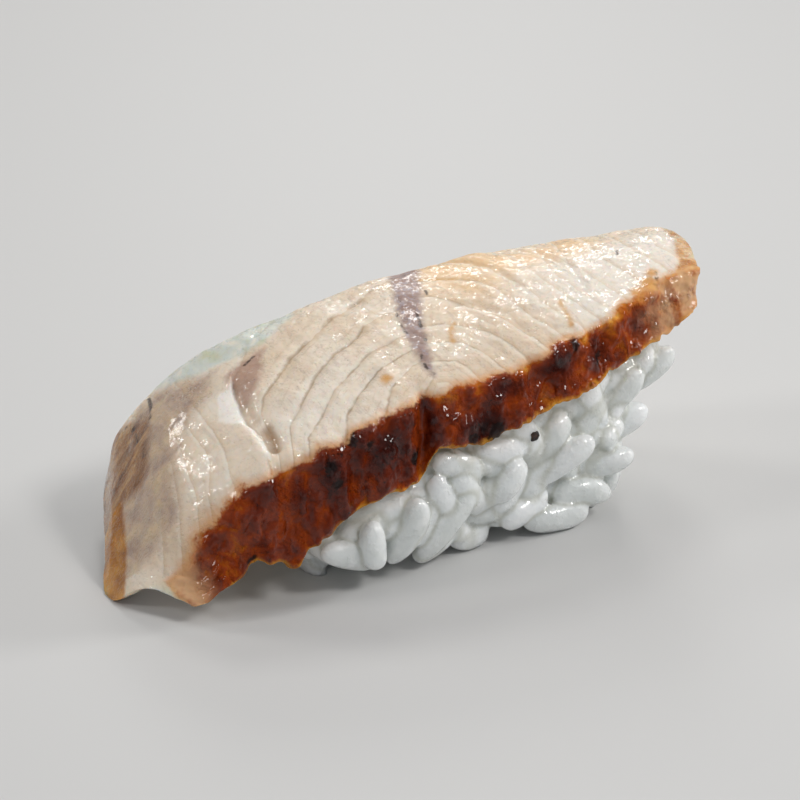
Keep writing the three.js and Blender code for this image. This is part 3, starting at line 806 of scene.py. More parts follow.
class Recipe:
    """A material in the making. Its coordinates are millimetres on the piece."""

    def __init__(self, name, tints):
        self.tints = tints
        self.material = bpy.data.materials.new(name)
        self.material.use_nodes = True
        self.tree = self.material.node_tree
        self.tree.nodes.clear()
        metres = self.node("ShaderNodeTexCoord", {}, {}).outputs["Object"]
        self.place = self.stretch(metres, (1 / MM, 1 / MM, 1 / MM))

    def node(self, kind, settings, values):
        """Any node: its settings first, then the values or links of its sockets."""
        node = self.tree.nodes.new(kind)
        for setting, value in settings.items():
            setattr(node, setting, value)
        for socket, value in values.items():
            feed(self.tree, node.inputs[socket], value)
        return node

    def stretch(self, vector, factors):
        node = self.node("ShaderNodeVectorMath", {"operation": "MULTIPLY"}, {0: vector, 1: factors})
        return node.outputs[0]

    def mark(self, name):
        """A number that the mesh holds at each of its points."""
        node = self.node("ShaderNodeAttribute", {"attribute_name": name}, {})
        return Term(self.tree, node.outputs["Fac"])

    def cloud(self, size, detail=2.0, rough=0.5, twist=0.0, place=None):
        """Noise from 0 to 1 with lumps of the given size in mm."""
        values = {"Vector": place or self.place, "Scale": 1 / size, "Detail": detail}
        values.update({"Roughness": rough, "Distortion": twist})
        return Term(self.tree, self.node("ShaderNodeTexNoise", {}, values).outputs[0])

    def dots(self, size):
        """Distance from the nearest of scattered points, in units of their spacing."""
        values = {"Vector": self.place, "Scale": 1 / size}
        return Term(self.tree, self.node("ShaderNodeTexVoronoi", {}, values).outputs["Distance"])

    def tint(self, colour):
        """A tint from its name. A socket that gives a colour stays as it is."""
        return self.tints[colour] if isinstance(colour, str) else colour

    def blend(self, share, first, second):
        """The first colour, with a share of the second."""
        values = {0: share, 6: self.tint(first), 7: self.tint(second)}
        return self.node("ShaderNodeMix", {"data_type": "RGBA"}, values).outputs[2]

    def layered(self, colour, layers):
        """A colour under layers, each a share and a colour of its own."""
        for share, layer in layers:
            colour = self.blend(share, colour, layer)
        return colour

    def scale_of(self, share, stops):
        """A colour from a scale of (place, tint) stops."""
        node = self.node("ShaderNodeValToRGB", {}, {})
        ramp = node.color_ramp
        while len(ramp.elements) < len(stops):
            ramp.elements.new(0.5)
        for element, (place, tint) in zip(ramp.elements, stops):
            element.position = place
            element.color = self.tint(tint)
        feed(self.tree, node.inputs[0], share)
        return node.outputs[0]

    def bump(self, height, depth, under=None):
        """A relief of the given depth in mm, over another relief."""
        values = {"Strength": 1.0, "Distance": depth * MM, "Height": height}
        if under is not None:
            values["Normal"] = under
        return self.node("ShaderNodeBump", {}, values).outputs[0]

    def surface(self, values):
        return self.node("ShaderNodeBsdfPrincipled", {}, values).outputs[0]

    def mix_of(self, share, first, second):
        """The first surface, with a share of the second."""
        return self.node("ShaderNodeMixShader", {}, {0: share, 1: first, 2: second}).outputs[0]

    def finish(self, shader):
        self.node("ShaderNodeOutputMaterial", {}, {"Surface": shader})
        return self.material


# ---- Materials ---------------------------------------------------------------------------


def flesh_colour(recipe, wander, facet):
    """Cream flesh, with its flakes and the painted shade and highlight beside their lines, dark meat, a
    painted pearly sheen on the back bevel, the glazed end, a painted shadow in the tear's hollow and the
    toasted rim.
    """
    on_top = recipe.mark("on_top")
    along_fibres = recipe.stretch(recipe.place, (1.0, 0.14, 0.4))
    fibres = recipe.cloud(0.55, 2.0, 0.5, 0.2, along_fibres).between(0.58, 0.7)

    row = recipe.mark("flake") + (recipe.cloud(1.4, 3.0, 0.6) - 0.5) * 0.16
    # Bands either side of each flake line: painted shade behind it and a painted highlight before it
    shade_behind = row.part().between(0.3, 0.02) * on_top
    before = row.part().between(0.7, 0.97) * on_top
    line = abs((row + 0.5).part() - 0.5).between(0.075, 0.01) * on_top
    line = line * recipe.cloud(2.6).between(0.36, 0.6) * recipe.mark("lines")
    finer = abs((row * 4.0 + 0.5).part() - 0.5).between(0.16, 0.03) * on_top
    finer = finer * recipe.cloud(2.4).between(0.46, 0.62) * recipe.mark("lines")

    wedge = (recipe.mark("wedge") + wander).between(0.5, -0.7)
    streak = (recipe.mark("streak") + wander * 0.8).between(0.5, -0.6)
    lilac = streak * recipe.cloud(0.9, 3.0, 0.7).between(0.52, 0.66)
    speck = recipe.dots(0.85).between(0.22, 0.08) * recipe.cloud(2.6, 1.0).between(0.5, 0.6)

    # Painted pearly sheen where the back light catches the back bevel
    painted_sheen = (recipe.mark("painted_sheen") + wander * 0.5).between(0.4, -0.6)
    sheen_tints = [(0.3, "green_pearl"), (0.5, "blue_pearl"), (0.7, "cream_pearl")]
    glaze = (recipe.mark("glaze") + wander).between(0.9, -1.6)
    stains = [(0.35, "dark_stain"), (0.5, "stain"), (0.66, "light_stain")]
    corner = (recipe.mark("corner") + wander * 0.7).between(0.5, -0.9)
    brushed = recipe.cloud(1.8, 3.0, 0.6, 0.8, recipe.stretch(recipe.place, (0.45, 1.2, 0.45)))
    browns = [(0.32, "dark_corner"), (0.5, "corner"), (0.68, "light_corner")]
    amber = (recipe.mark("amber") + wander * 0.3).between(0.25, -0.25)
    honeys = [(0.35, "dark_honey"), (0.55, "honey"), (0.7, "light_honey")]

    toasts = [(0.36, "dark_toast"), (0.5, "toast"), (0.62, "light_toast")]
    gold = (recipe.mark("gold") + wander).between(0.7, -0.6)
    thread = (recipe.mark("thread") + (recipe.cloud(0.45, 2.0, 0.6) - 0.5) * 0.3).between(0.28, 0.06)
    thread = thread * recipe.cloud(1.2).between(0.38, 0.56)
    crack = (recipe.mark("crack") + wander * 0.7).between(0.6, -0.1)
    flecks = recipe.dots(2.6).between(0.06, 0.035) * recipe.cloud(5.0, 1.0).between(0.48, 0.56)
    halo = (recipe.mark("crust") + wander * 0.9).between(1.5, -0.2)
    silvers = [(0.35, "dark_silver"), (0.55, "silver"), (0.7, "light_silver")]

    colour = recipe.blend(recipe.mark("warmth"), "flesh", "warm_flesh")
    return recipe.layered(colour, [
        (recipe.cloud(6.0).between(0.42, 0.7) * 0.5, "pale_flesh"),
        (recipe.cloud(2.2).between(0.5, 0.8) * 0.3, "tan_mottle"),
        (recipe.mark("white") * 0.6, "white_flesh"),
        (fibres * 0.22, "fibre"),
        # Painted shade behind the flake lines and a painted highlight before them, then the lines
        # themselves
        (shade_behind * 0.3, "behind_line"),
        (before * 0.35, "before_line"),
        (line * 0.6, "flake_line"),
        (finer * 0.25, "finer_line"),
        (wedge * 0.72, "wedge"),
        (streak * 0.75, "dark_meat"),
        (lilac * 0.7, "lilac"),
        (streak * speck * 0.85, "meat_speck"),
        (painted_sheen * 0.85, recipe.scale_of(recipe.cloud(2.4, 2.0, 0.5, 0.6), sheen_tints)),
        (glaze * 0.75, recipe.scale_of(recipe.cloud(3.0, 2.0, 0.5, 0.4), stains)),
        (corner * 0.85, recipe.scale_of(brushed, browns)),
        (amber * 0.9, recipe.scale_of(recipe.cloud(2.6), honeys)),
        (recipe.mark("tear_floor") * 0.6, "tear_floor"),
        # Painted shadow in the tear's hollow, beside the raised flake
        (recipe.mark("hollow") * 0.8, "hollow"),
        (recipe.mark("crisp") * 0.9, "crisp"),
        (facet * 0.9, recipe.scale_of(recipe.cloud(2.2, 3.0, 0.55, 0.5), toasts)),
        (gold * 0.85, "gold"),
        (thread * 0.85, "thread"),
        (crack * 0.7, "golden_crack"),
        (flecks * 0.5, "fleck"),
        (halo * 0.72, "halo"),
        (recipe.mark("skin") * 0.8, recipe.scale_of(recipe.cloud(2.2, 3.0, 0.6), silvers)),
    ])


def flesh_shader(recipe):
    """Moist flesh under patches of clear juice, which catch the light as small glints."""
    wander = (recipe.cloud(1.1, 3.0, 0.6) - 0.5) * 1.4
    facet = (recipe.mark("facet") + wander * 0.5).between(0.3, -0.5)
    sauce = (recipe.mark("sauce") + wander * 0.8).between(1.2, -1.2).most(facet)
    wet = recipe.cloud(1.5, 2.0, 0.6)
    beads = recipe.cloud(1.1, 1.0, 0.5, 0.3)
    ripples = recipe.cloud(0.32, 1.0, 0.5, 0.3)
    smooth_relief = recipe.bump(recipe.cloud(2.2), 0.3)
    both = {
        "Base Color": flesh_colour(recipe, wander, facet),
        "IOR": 1.4,
        "Subsurface Radius": (1.0, 0.66, 0.45),
        "Subsurface Scale": 1.2 * MM,
        "Coat IOR": 1.45,
    }
    juice = recipe.surface({
        **both,
        "Roughness": 0.3,
        "Normal": recipe.bump(ripples * (sauce * 0.8 + 0.6), 0.34, smooth_relief),
        "Subsurface Weight": 1.0,
        "Coat Weight": 1.0,
        "Coat Roughness": 0.05,
    })
    flesh = recipe.surface({
        **both,
        "Roughness": (0.56 - wet * 0.1 - sauce * 0.12).most(0.3),
        "Specular IOR Level": 0.2,
        "Normal": recipe.bump(beads * (sauce * 0.6 + 0.3), 0.4, smooth_relief),
        "Subsurface Weight": 0.8,
        "Coat Weight": sauce * 0.25 + wet.between(0.5, 0.65) * 0.12 + 0.04,
        "Coat Roughness": 0.14,
    })
    drops = recipe.cloud(0.42, 2.0, 0.6, 0.5) + sauce * 0.11 + (recipe.cloud(2.6) - 0.5) * 0.35
    return recipe.mix_of(drops.between(0.53, 0.6) * 0.9, flesh, juice)


def crust_shader(recipe):
    """Glossy caramelised skin, from amber through red-brown to black."""
    place = recipe.stretch(recipe.place, (1.0, 1.0, 0.8))
    blotch = recipe.cloud(3.6, 2.0, 0.5, 0.9, place)
    patch = recipe.cloud(1.5, 3.0, 0.6, 0.6, place)
    fine = recipe.cloud(0.4, 3.0, 0.6)
    heat = recipe.mark("browning") * 0.42 + (blotch - 0.5) * 0.6 + (patch - 0.5) * 0.5
    heat = heat + recipe.mark("lump") * 0.16 + (fine - 0.5) * 0.1 + 0.42
    heat = heat - recipe.mark("crust").between(-2.2, -0.2) * recipe.mark("amber_border")
    colour = recipe.scale_of(heat, [
        (0.0, "yellow_crust"),
        (0.18, "amber_crust"),
        (0.36, "russet_crust"),
        (0.54, "red_crust"),
        (0.76, "dark_crust"),
        (1.0, "black_crust"),
    ])
    rim = (recipe.mark("rim") + (patch - 0.5) * 1.4).between(0.9, 0.1)
    pale = recipe.mark("pale_crust") * recipe.cloud(2.8, 3.0, 0.6).between(0.3, 0.6)
    char = (recipe.mark("char") + (fine - 0.5) * 1.1 + (patch - 0.5) * 1.2).between(0.3, -0.2)
    soot = recipe.cloud(0.6, 2.0, 0.6).between(0.64, 0.7) * heat.between(0.35, 0.7)
    colour = recipe.layered(colour, [
        (rim * 0.75, "golden_rim"),
        (pale * 0.85, "pale_crust"),
        (char * 0.92, "char"),
        (soot * 0.85, "soot"),
    ])

    lumps = recipe.cloud(1.5, 1.5, 0.5, 0.6, place)
    crisps = recipe.cloud(0.42, 2.0, 0.55, 0.4) * (recipe.cloud(2.6).between(0.4, 0.58) * 0.8 + 0.2)
    relief = recipe.bump(lumps * (1.0 - recipe.mark("pale_crust") * 0.6), 0.7)
    return recipe.surface({
        "Base Color": colour,
        "Roughness": (patch * 0.3 + 0.3).least(0.55),
        "Specular IOR Level": 0.05,
        "Normal": recipe.bump(crisps * (1.0 - pale), 0.42, relief),
        "Subsurface Weight": 0.15,
        "Subsurface Radius": (1.0, 0.35, 0.12),
        "Subsurface Scale": 1.0 * MM,
        "Coat Weight": lumps.between(0.35, 0.6) * 0.5 + 0.1,
        "Coat Roughness": 0.05,
    })


def eel_material(tints):
    recipe = Recipe("grilled_eel", tints)
    flesh = flesh_shader(recipe)
    crust = crust_shader(recipe)
    ragged = (recipe.cloud(1.3, 4.0, 0.65, 0.3) - 0.5) * 2.2
    share = (recipe.mark("crust") + ragged).between(0.35, -0.35)
    return recipe.finish(recipe.mix_of(share, flesh, crust))


def rice_material(tints):
    """Cooked rice: milky and slightly clear, with a thin sticky film and painted shade in the seams between
    grains.
    """
    recipe = Recipe("cooked_rice", tints)
    cloudy = recipe.cloud(1.9)
    wrinkle = recipe.cloud(0.45, 2.0, 0.55, 0.3)
    film = recipe.cloud(1.3)
    colour = recipe.blend(recipe.mark("tone"), "rice", "deep_rice")
    colour = recipe.layered(colour, [
        (cloudy.between(0.45, 0.75) * 0.4, "cloudy_rice"),
        # Painted shade in the seams, where one grain meets the next
        (recipe.mark("seam_shade_lead").between(0.55, 0.0) * 0.5, "rice_seam"),
    ])
    relief = recipe.bump(cloudy, 0.35)
    relief = recipe.bump(wrinkle * (film.between(0.5, 0.62) + 0.5), 0.13, relief)
    return recipe.finish(recipe.surface({
        "Base Color": colour,
        "Roughness": 0.4 - film * 0.2,
        "IOR": 1.4,
        "Normal": relief,
        "Subsurface Weight": 1.0,
        "Subsurface Radius": (1.0, 0.98, 0.95),
        "Subsurface Scale": 2.4 * MM,
        "Coat Weight": film.between(0.35, 0.6) * 0.6 + 0.4,
        "Coat Roughness": 0.06,
    }))


def char_material(tints):
    recipe = Recipe("burnt_crumb", tints)
    crumbs = [(0.4, "black_crumb"), (0.6, "brown_crumb"), (0.75, "tan_crumb")]
    return recipe.finish(recipe.surface({
        "Base Color": recipe.scale_of(recipe.cloud(0.4, 3.0), crumbs),
        "Roughness": 0.45,
        "Normal": recipe.bump(recipe.cloud(0.25, 3.0), 0.12),
    }))


def floor_material(tints):
    recipe = Recipe("pale_table", tints)
    colour = recipe.blend(recipe.cloud(60.0) * 0.1, "table", "table_cloud")
    return recipe.finish(recipe.surface({"Base Color": colour, "Roughness": 0.55}))


# ---- The slice ---------------------------------------------------------------------------


def crust_relief(x, q):
    """How far the crust stands out of the smooth slice."""
    depth, along, up = (CRAG[key] for key in ("depth", "along", "up"))
    relief = depth * CRAG["coarse"] * noise(x / along, q * up, 3)
    relief = relief + depth * CRAG["fine"] * noise(x / (along * CRAG["finer"]), q * up * 2, 5)
    for top, bottom, fold_depth, width in FOLDS:
        relief = relief - fold_depth * bell(x - mix(bottom, top, q), width)
    return relief


def edge_step(x):
    """How far the crust's lower edge lies above its stations, at the least."""
    step = 1 / (1 + np.exp(-(x - STEP["x"]) * STEP["sharp"]))
    fading = np.clip(1 - (x - STEP["x"]) / STEP["fade"], 0, 1)
    height = STEP["rise"] * step * fading
    for at, drop, width in TEETH:
        height = height - drop * bell(x - at, width)
    return height


def edge_rise(x):
    """The same with the edge's small rags."""
    along = RAGGED["along"]
    ragged = 2 + noise(x / along, 0.5, 7) + noise(2 * x / along, 0.5, 9)
    return edge_step(x) + RAGGED["depth"] * 0.25 * ragged


def flesh_relief(x, y):
    """How far the flesh lies below the smooth top."""
    depth = WAVES["depth"] * noise(x / WAVES["size"], y / WAVES["size"], 13)
    for path in FLAKE_GROOVES:
        depth = depth + GROOVE["depth"] * bell(stroke_distance(x, y, path)[0], GROOVE["width"])
    tear = stroke_distance(x, y, TEAR["path"])[0]
    return depth + TEAR["depth"] * bell(tear, TEAR["width"])


def top_and_depth(x, w):
    """Height of the smooth top and the slice's depth under it, at w from front to back."""
    front_top = CURVE["front_top"](x)
    top = mix(front_top, CURVE["back_top"](x), w) + CROWN * 4 * w * (1 - w)
    return top, mix(front_top - CURVE["edge"](x), CURVE["thick"](x), w)


def slice_points(share):
    """The slice's points from shares along it, from front to back, and from bottom to top."""
    s, w, q = share.T
    left = left_end(w) + LEFT_LEAN * q
    right = right_end(w) - RIGHT_LEAN * (1 - w) * (1 - q)
    x = mix(left, right, s)
    smooth_y = mix(CURVE["front"](x) - FRONT_LEAN * (1 - q), CURVE["back"](x), w)
    y = smooth_y - crust_relief(x, q) * np.exp(-w * CRAG["fade"])
    top, depth = top_and_depth(x, w)
    near_tip = np.clip(1 - s / CURL["reach"], 0, 1) ** 2
    curl = near_tip * mix(CURL["front"], CURL["back"], w)
    z = top - depth + depth * (1 - curl) * q
    z = z + edge_rise(x) * (1 - q) * (1 - w) ** 3 * (1 - near_tip)
    z = z - flesh_relief(x, y) * q**4 * (1 - near_tip)
    z = z - TIP["drop"] * bell(s, TIP["reach"]) * bell(w - TIP["across"], TIP["width"])
    arch = ARCH["rise"] * bell(s, ARCH["reach"]) * bell(w - ARCH["across"], ARCH["width"])
    return np.stack([x, y, np.maximum(z, LOWEST) + arch], -1)


def underside_at(x, y):
    """Height of the slice's underside over a point of the floor."""
    front = CURVE["front"](x) - FRONT_LEAN
    w = np.clip((y - front) / (CURVE["back"](x) - front), 0, 1)
    top, depth = top_and_depth(x, w)
    return top - depth + np.minimum(edge_step(x), edge_step(x - STEP["late"])) * (1 - w) ** 3


def slice_marks(share, points):
    """What the material needs to know at each point: distances in mm, and shares."""
    w, q = share[:, 1:].T
    x, y = points[:, :2].T
    on_top = soft_step(q, *FADES["on_top"])
    off_top = FAR * (1 - on_top)
    wall = CURVE["front_top"](x) - CURVE["edge"](x)
    reach = crust_reach(x)
    at_foot = mix(reach, CRUST_AT_FOOT, soft_step(reach, *FADES["at_foot"]))
    crust = w * NOMINAL[1] - mix(at_foot, reach, q) - np.minimum(q, 1 - q) * wall
    browned = [
        depth * bell(np.hypot((x - at) / long, (q - up) / high), 1) for at, up, long, high, depth in BROWNED
    ]
    tear, side = stroke_distance(x, y, TEAR_EDGE)
    spike = soft_step(-outside_of(x, y, SPIKE), *FADES["spike"])
    glazed_end = outside_of(x, y, GLAZED_END)
    glazed_corner = outside_of(x, y, GLAZED_CORNER)
    right_of_streak = stroke_distance(x, y, [point[:2] for point in STREAK])[1] > 0
    left_row, left_line = place_in_row(x, y, LEFT_FLAKES)
    right_row, right_line = place_in_row(x, y, RIGHT_FLAKES)
    patch_along = bell((x - WHITE_PATCH["x"]) / WHITE_PATCH["half"], 1)
    white_patch = patch_along * bell(w - WHITE_PATCH["across"], WHITE_PATCH["width"])
    crisp_edge = CRISP["edge"] * bell(tear, CRISP["width"]) * (side < 0)
    warm_back = soft_step(x, *FADES["warm_left"]) * soft_step(w, *FADES["warm_back"])
    skin_below = soft_step(1 - q, *FADES["skin_below"])
    return {
        "crust": crust,
        "lines": lines_show(x),
        "white": soft_step(x, *FADES["white_right"]) * soft_step(w, *FADES["white_front"]) + white_patch,
        "sauce": np.minimum(glazed_end, glazed_corner),
        "browning": np.max(browned, axis=0),
        "amber_border": BORDER_AMBER["least"] + BORDER_AMBER["more"] * soft_step(x, *FADES["border_amber"]),
        "char": nearest_spot(x, q, CHARRED, wall),
        "rim": np.where(w < FRONT_WALL, q * wall, FAR),
        "pale_crust": soft_step(x, *FADES["pale_right"]) + soft_step(x, *FADES["pale_left"]),
        "flake": np.where(right_of_streak, right_row + SECOND_ROW, left_row),
        "flake_line": np.where(right_of_streak, right_line, left_line) + off_top,
        "on_top": on_top,
        "thread": nearest_stroke(x, y, DARK_STROKES) + off_top,
        "crack": nearest_stroke(x, y, GOLDEN_STROKES) + off_top,
        "streak": outside_of_band(x, y, STREAK) + off_top,
        "wedge": outside_of(x, y, WEDGE) + off_top,
        "painted_sheen": outside_of(x, y, PAINTED_SHEEN_BEVEL) + off_top,
        "glaze": glazed_end + off_top,
        "corner": glazed_corner + off_top * (y < 0),
        "amber": outside_of(x, y, AMBER_END),
        "gold": np.where(on_top > 0, nearest_spot(x, y, GOLDEN_SPOTS, 1), FAR),
        "facet": outside_of(x, y, CAP_FACET),
        "hollow": bell(nearest_stroke(x, y, [TEAR_HOLLOW]), TORN["width"]) * on_top,
        "tear_floor": bell(nearest_stroke(x, y, [TEAR_FLOOR]), TORN["width"]) * on_top,
        "crisp": np.maximum(crisp_edge, CRISP["spike"] * spike) * on_top,
        "warmth": warm_back * soft_step(x, *FADES["warm_right"]) + LEAST_WARMTH,
        "skin": soft_step(w, *FADES["skin_back"]) * skin_below * soft_step(q, *FADES["skin_above"]),
    }


def relief_of(points, kind):
    depth, size, seed, octaves = FINE_RELIEF[kind]
    return depth * grainy(points, size, seed, octaves)


def fine_relief(share, points, marks):
    """How far each point moves out of the surface, in mm, for what the frame leaves out."""
    x, y = points[:, :2].T
    lumps = relief_of(points * LUMP_STRETCH, "lumps") + np.abs(relief_of(points, "crags")) - LUMPS_SUNK
    border = bell(marks["crust"] + BORDER_RIDGE["in"], BORDER_RIDGE["width"])
    beads = BORDER_RIDGE["even"] + relief_of(points, "border_beads")
    lumps = lumps + BORDER_RIDGE["rise"] * border * beads
    flesh = relief_of(points, "swells") + relief_of(points, "grain")
    flesh = flesh - FLAKE_LINE["depth"] * marks["lines"] * bell(marks["flake_line"], FLAKE_LINE["width"])
    tear, side = stroke_distance(x, y, TEAR_EDGE)
    lip = np.where(side < 0, np.exp(-tear / TORN["lip_fade"]), 0)
    near = soft_step(TORN["lip_reach"] - tear, 0, TORN["lip_reach"])
    flesh = flesh + TORN["lip"] * lip * soft_step(share[:, 2], *FADES["lip"]) * near
    flesh = flesh - TORN["hollow"] * marks["hollow"] - TORN["floor"] * marks["tear_floor"]
    return mix(flesh, lumps, soft_step(-marks["crust"], *FADES["on_crust"]))


def build_slice(settings):
    cells = (settings.cells_along, settings.cells_across, settings.cells_up)
    corners, faces = box_grid(cells)
    share = round_cube(corners, ROUNDING_LOW / NOMINAL, ROUNDING_HIGH / NOMINAL)
    points = slice_points(share)
    marks = slice_marks(share, points)
    relief = fine_relief(share, points, marks)
    marks["lump"] = relief / FULL_LUMP
    points = points + surface_normals(points, faces) * (relief * settings.relief)[:, None]
    points[:, 2] = np.maximum(points[:, 2], LOWEST)
    material = eel_material(tints_with(settings))
    return make_piece("eel_slice_grilled", points, faces, marks, material, "eel_slice")


# ---- The rice ----------------------------------------------------------------------------


def block_point(u, v, t):
    """A point of the rice block's skin, from shares along, from front to back and up."""
    z = BLOCK["height"] * t
    belly = BLOCK["bulge"] * np.sin(np.pi * np.minimum(1, z / BLOCK["bulge_high"]))
    tuck = BLOCK["foot"] * (1 - np.minimum(1, z / BLOCK["foot_high"])) ** 2
    right = BLOCK["right"] + BLOCK["right_rake"] * z + BLOCK["right_skew"] * v - tuck
    x = mix(BLOCK["left"] + tuck, right, u)
    skew = FRONT_SKEW["slope"] * (x - BLOCK["right"]) + FRONT_SKEW["from"]
    front = BLOCK["front"] + np.maximum(skew, FRONT_SKEW["most"]) - belly + tuck
    back = BLOCK["back"] + belly - tuck - BACK_SKEW["slope"] * np.maximum(0, x - BACK_SKEW["from"])
    return np.stack([x, mix(front, back, v), z], -1)


def rounded_block_points(corners):
    end, side, floor, top = BLOCK_ROUNDING.values()
    share = round_cube(corners, np.array([end, side, floor]), np.array([end, side, top]))
    return block_point(*share.T)


def wall_at(turn, z):
    """A point of the block's wall once round it from 0 to 4, the way along and out of it."""

    def corner(value):
        f = value - math.floor(value)
        plan = [(f, 0), (1, f), (1 - f, 1), (0, 1 - f)][math.floor(value) % 4]
        return rounded_block_points(np.array([[*plan, z / BLOCK["height"]]], float))[0]

    along = corner(turn + NUDGE) - corner(turn - NUDGE)
    along = along / np.linalg.norm(along)
    return corner(turn), along, np.array([along[1], -along[0], 0.0])


def random_source(seed):
    """The frame's own random numbers."""
    state = seed
    while True:
        state = (state * 1664525 + 1013904223) % 4294967296
        yield state / 4294967296


def settle(grain):
    """Lowers a grain that would reach the slice. Returns how far it was lowered."""
    middle, axis = grain["middle"], grain["axis"]
    upright = axis[2] * grain["long"] / 2
    level = math.sqrt(max(0, 1 - axis[2] ** 2)) * grain["wide"] / 2
    tested = [middle + axis * share * grain["long"] for share in TESTED_AT]
    ceiling = min(float(underside_at(x, y)) for x, y, _ in tested) - GAP
    drop = max(0.0, middle[2] + math.hypot(upright, level) - ceiling)
    middle[2] = max(middle[2] - drop, LOWEST_GRAIN)
    return drop


def shown_grains():
    grains = []
    for at, lie, turn, long in SHOWN_GRAINS:
        rise = math.radians(lie)
        swing = math.radians(turn)
        flat = math.cos(swing)
        axis = np.array([math.cos(rise) * flat, math.sin(swing), math.sin(rise) * flat])
        grain = {"middle": np.array(at, float), "axis": axis, "up": np.array([0.0, -1.0, 0.0])}
        grain.update({"long": long, "wide": GRAIN["wide"], "thick": GRAIN["thick"]})
        settle(grain)
        grains.append(grain)
    return grains


def wall_grains(seed, lay):
    """Grains scattered in rows round the block's wall."""
    random = random_source(seed)
    least, more = WALL_CHANCE["spacing"]
    grains = []
    for row in range(lay["rows"]):
        z = lay["first"] + row * ROW_STEP
        turn = next(random) * WALL_CHANCE["start"]
        while turn < 4:
            point, along, outward = wall_at(turn, z)
            lie = (next(random) - 0.5) * math.pi * WALL_CHANCE["lie"]
            swing = (next(random) - 0.5) * WALL_CHANCE["swing"]
            axis = along * math.cos(lie) + np.array([0, 0, math.sin(lie)]) + outward * swing
            middle = point + outward * (lay["out"] + (next(random) - 0.5) * WALL_CHANCE["out"])
            sizes = {
                key: GRAIN[key] * (1 + (next(random) - 0.5) * 2 * GRAIN_SPREAD)
                for key in ("long", "wide", "thick")
            }
            axis = axis / np.linalg.norm(axis)
            grains.append({"middle": middle, "axis": axis, "up": outward, **sizes})
            side_length = WALL_LENGTHS[math.floor(turn) % 2]
            turn += lay["along"] * (least + more * next(random)) / side_length
    return grains


def clear_of(grain, others, room):
    x, y, z = grain["middle"]
    under_left_foot = z < BARE_FOOT["below"] and x < BARE_FOOT["left_of"] and y < BARE_FOOT["before"]
    spaced = all(np.linalg.norm(grain["middle"] - other["middle"]) > room for other in others)
    return spaced and not under_left_foot


def foot_grains(seed):
    """Grains that lie flat in the block's foot, where it stood on the hand and the table."""
    random = random_source(seed)
    grains = []
    stray = FOOT_LAY["stray"]
    for place in np.ndindex(*FOOT_LAY["count"]):
        x, y = np.array(FOOT_LAY["first"][:2]) + np.multiply(FOOT_LAY["step"], place)
        x += (next(random) - 0.5) * stray[0]
        y += (next(random) - 0.5) * stray[1]
        heading = next(random) * math.pi
        tilt = (next(random) - 0.5) * FOOT_TILT
        axis = np.array([math.cos(heading), math.sin(heading), tilt])
        middle = np.array([x, y, FOOT_LAY["first"][2] + next(random) * stray[2]])
        grain = {"middle": middle, "axis": axis / np.linalg.norm(axis)}
        grain.update({"up": np.array([0.0, 0.0, 1.0]), **GRAIN})
        grains.append(grain)
    return grains


def grain_form(rings, sides):
    """A plump grain of length, width and thickness 1 along X, and its faces."""
    square = GRAIN_FORM["square"]
    turn = np.linspace(0, 2 * np.pi, sides, endpoint=False)
    points = [(-0.5, 0.0, 0.0)]
    for k in range(1, rings):
        along = -0.5 * math.cos(math.pi * k / rings)
        radius = 0.5 * (1 - abs(2 * along) ** GRAIN_FORM["blunt"]) ** 0.5
        radius *= 1 + GRAIN_FORM["taper"] * along
        for angle in turn:
            c, d = math.cos(angle), math.sin(angle)
            out = (abs(c) ** square + abs(d) ** square) ** (-1 / square)
            points.append((along, radius * c * out, radius * d * out))
    points.append((0.5, 0.0, 0.0))
    faces = []
    last = len(points) - 1
    for j in range(sides):
        k = (j + 1) % sides
        faces.append((0, 1 + k, 1 + j))
        for ring in range(rings - 2):
            a = 1 + ring * sides
            faces.append((a + j, a + k, a + sides + k, a + sides + j))
        end = 1 + (rings - 2) * sides
        faces.append((end + j, end + k, last))
    return np.array(points), faces


def grain_points(grain, form, seed):
    """The form as one grain: bent, dented, laid in place, and flat where it is pressed."""
    points = form.copy()
    chance = hashed(np.array([[seed, k, 3] for k in range(6)]), 5)
    points[:, 0] += GRAIN_CHANGE["slide"] * chance[0] * (1 - 4 * points[:, 0] ** 2)
    dents = grainy(points * (2.2, 1.4, 1.4) + seed * 3.7, 1.0, 41, 2)
    points[:, 1:] *= (1 + GRAIN_CHANGE["dents"] * dents)[:, None]
    points[:, 1] += GRAIN_CHANGE["bend"] * chance[1] * (points[:, 0] ** 2 * 4 - 0.4)
    points[:, 1:] *= (1 + GRAIN_CHANGE["taper"] * chance[2] * points[:, 0])[:, None]
    side = np.cross(grain["up"], grain["axis"])
    side = side / np.linalg.norm(side)
    face = np.cross(grain["axis"], side)
    sized = points * (grain["long"], grain["wide"], grain["thick"])
    placed = grain["middle"] + sized[:, :1] * grain["axis"] + sized[:, 1:2] * side
    placed = placed + sized[:, 2:] * face
    inside = placed[:, 1] > CURVE["front"](placed[:, 0]) - FRONT_LEAN - PRESSED["before"]
    ceiling = underside_at(placed[:, 0], placed[:, 1]) - PRESSED["gap"]
    placed[:, 2] = np.where(inside, np.minimum(placed[:, 2], ceiling), placed[:, 2])
    placed[:, 2] = np.maximum(placed[:, 2], 0.0)
    return placed


def laid_grains(settings):
    """All grains: the shown ones, those of the wall, deeper ones, and those underneath."""
    shown = shown_grains()
    grains = list(shown)
    for lay, seed in ((OUTER_LAY, OUTER_SEED), (INNER_LAY, settings.seed)):
        for grain in wall_grains(seed, lay):
            if clear_of(grain, shown, lay["room"]) and settle(grain) < lay["drop"]:
                grains.append(grain)
    return grains + foot_grains(settings.seed + 1)


def core_points(corners):
    """The pressed heart of the rice, which shows only between the grains."""
    points = rounded_block_points(corners)
    middle = np.array(CORE["middle"])
    points = middle + (points - middle) * CORE["share"]
    ceiling = underside_at(points[:, 0], points[:, 1]) - GAP
    points[:, 2] = np.clip(points[:, 2], CORE["lowest"], ceiling)
    return points


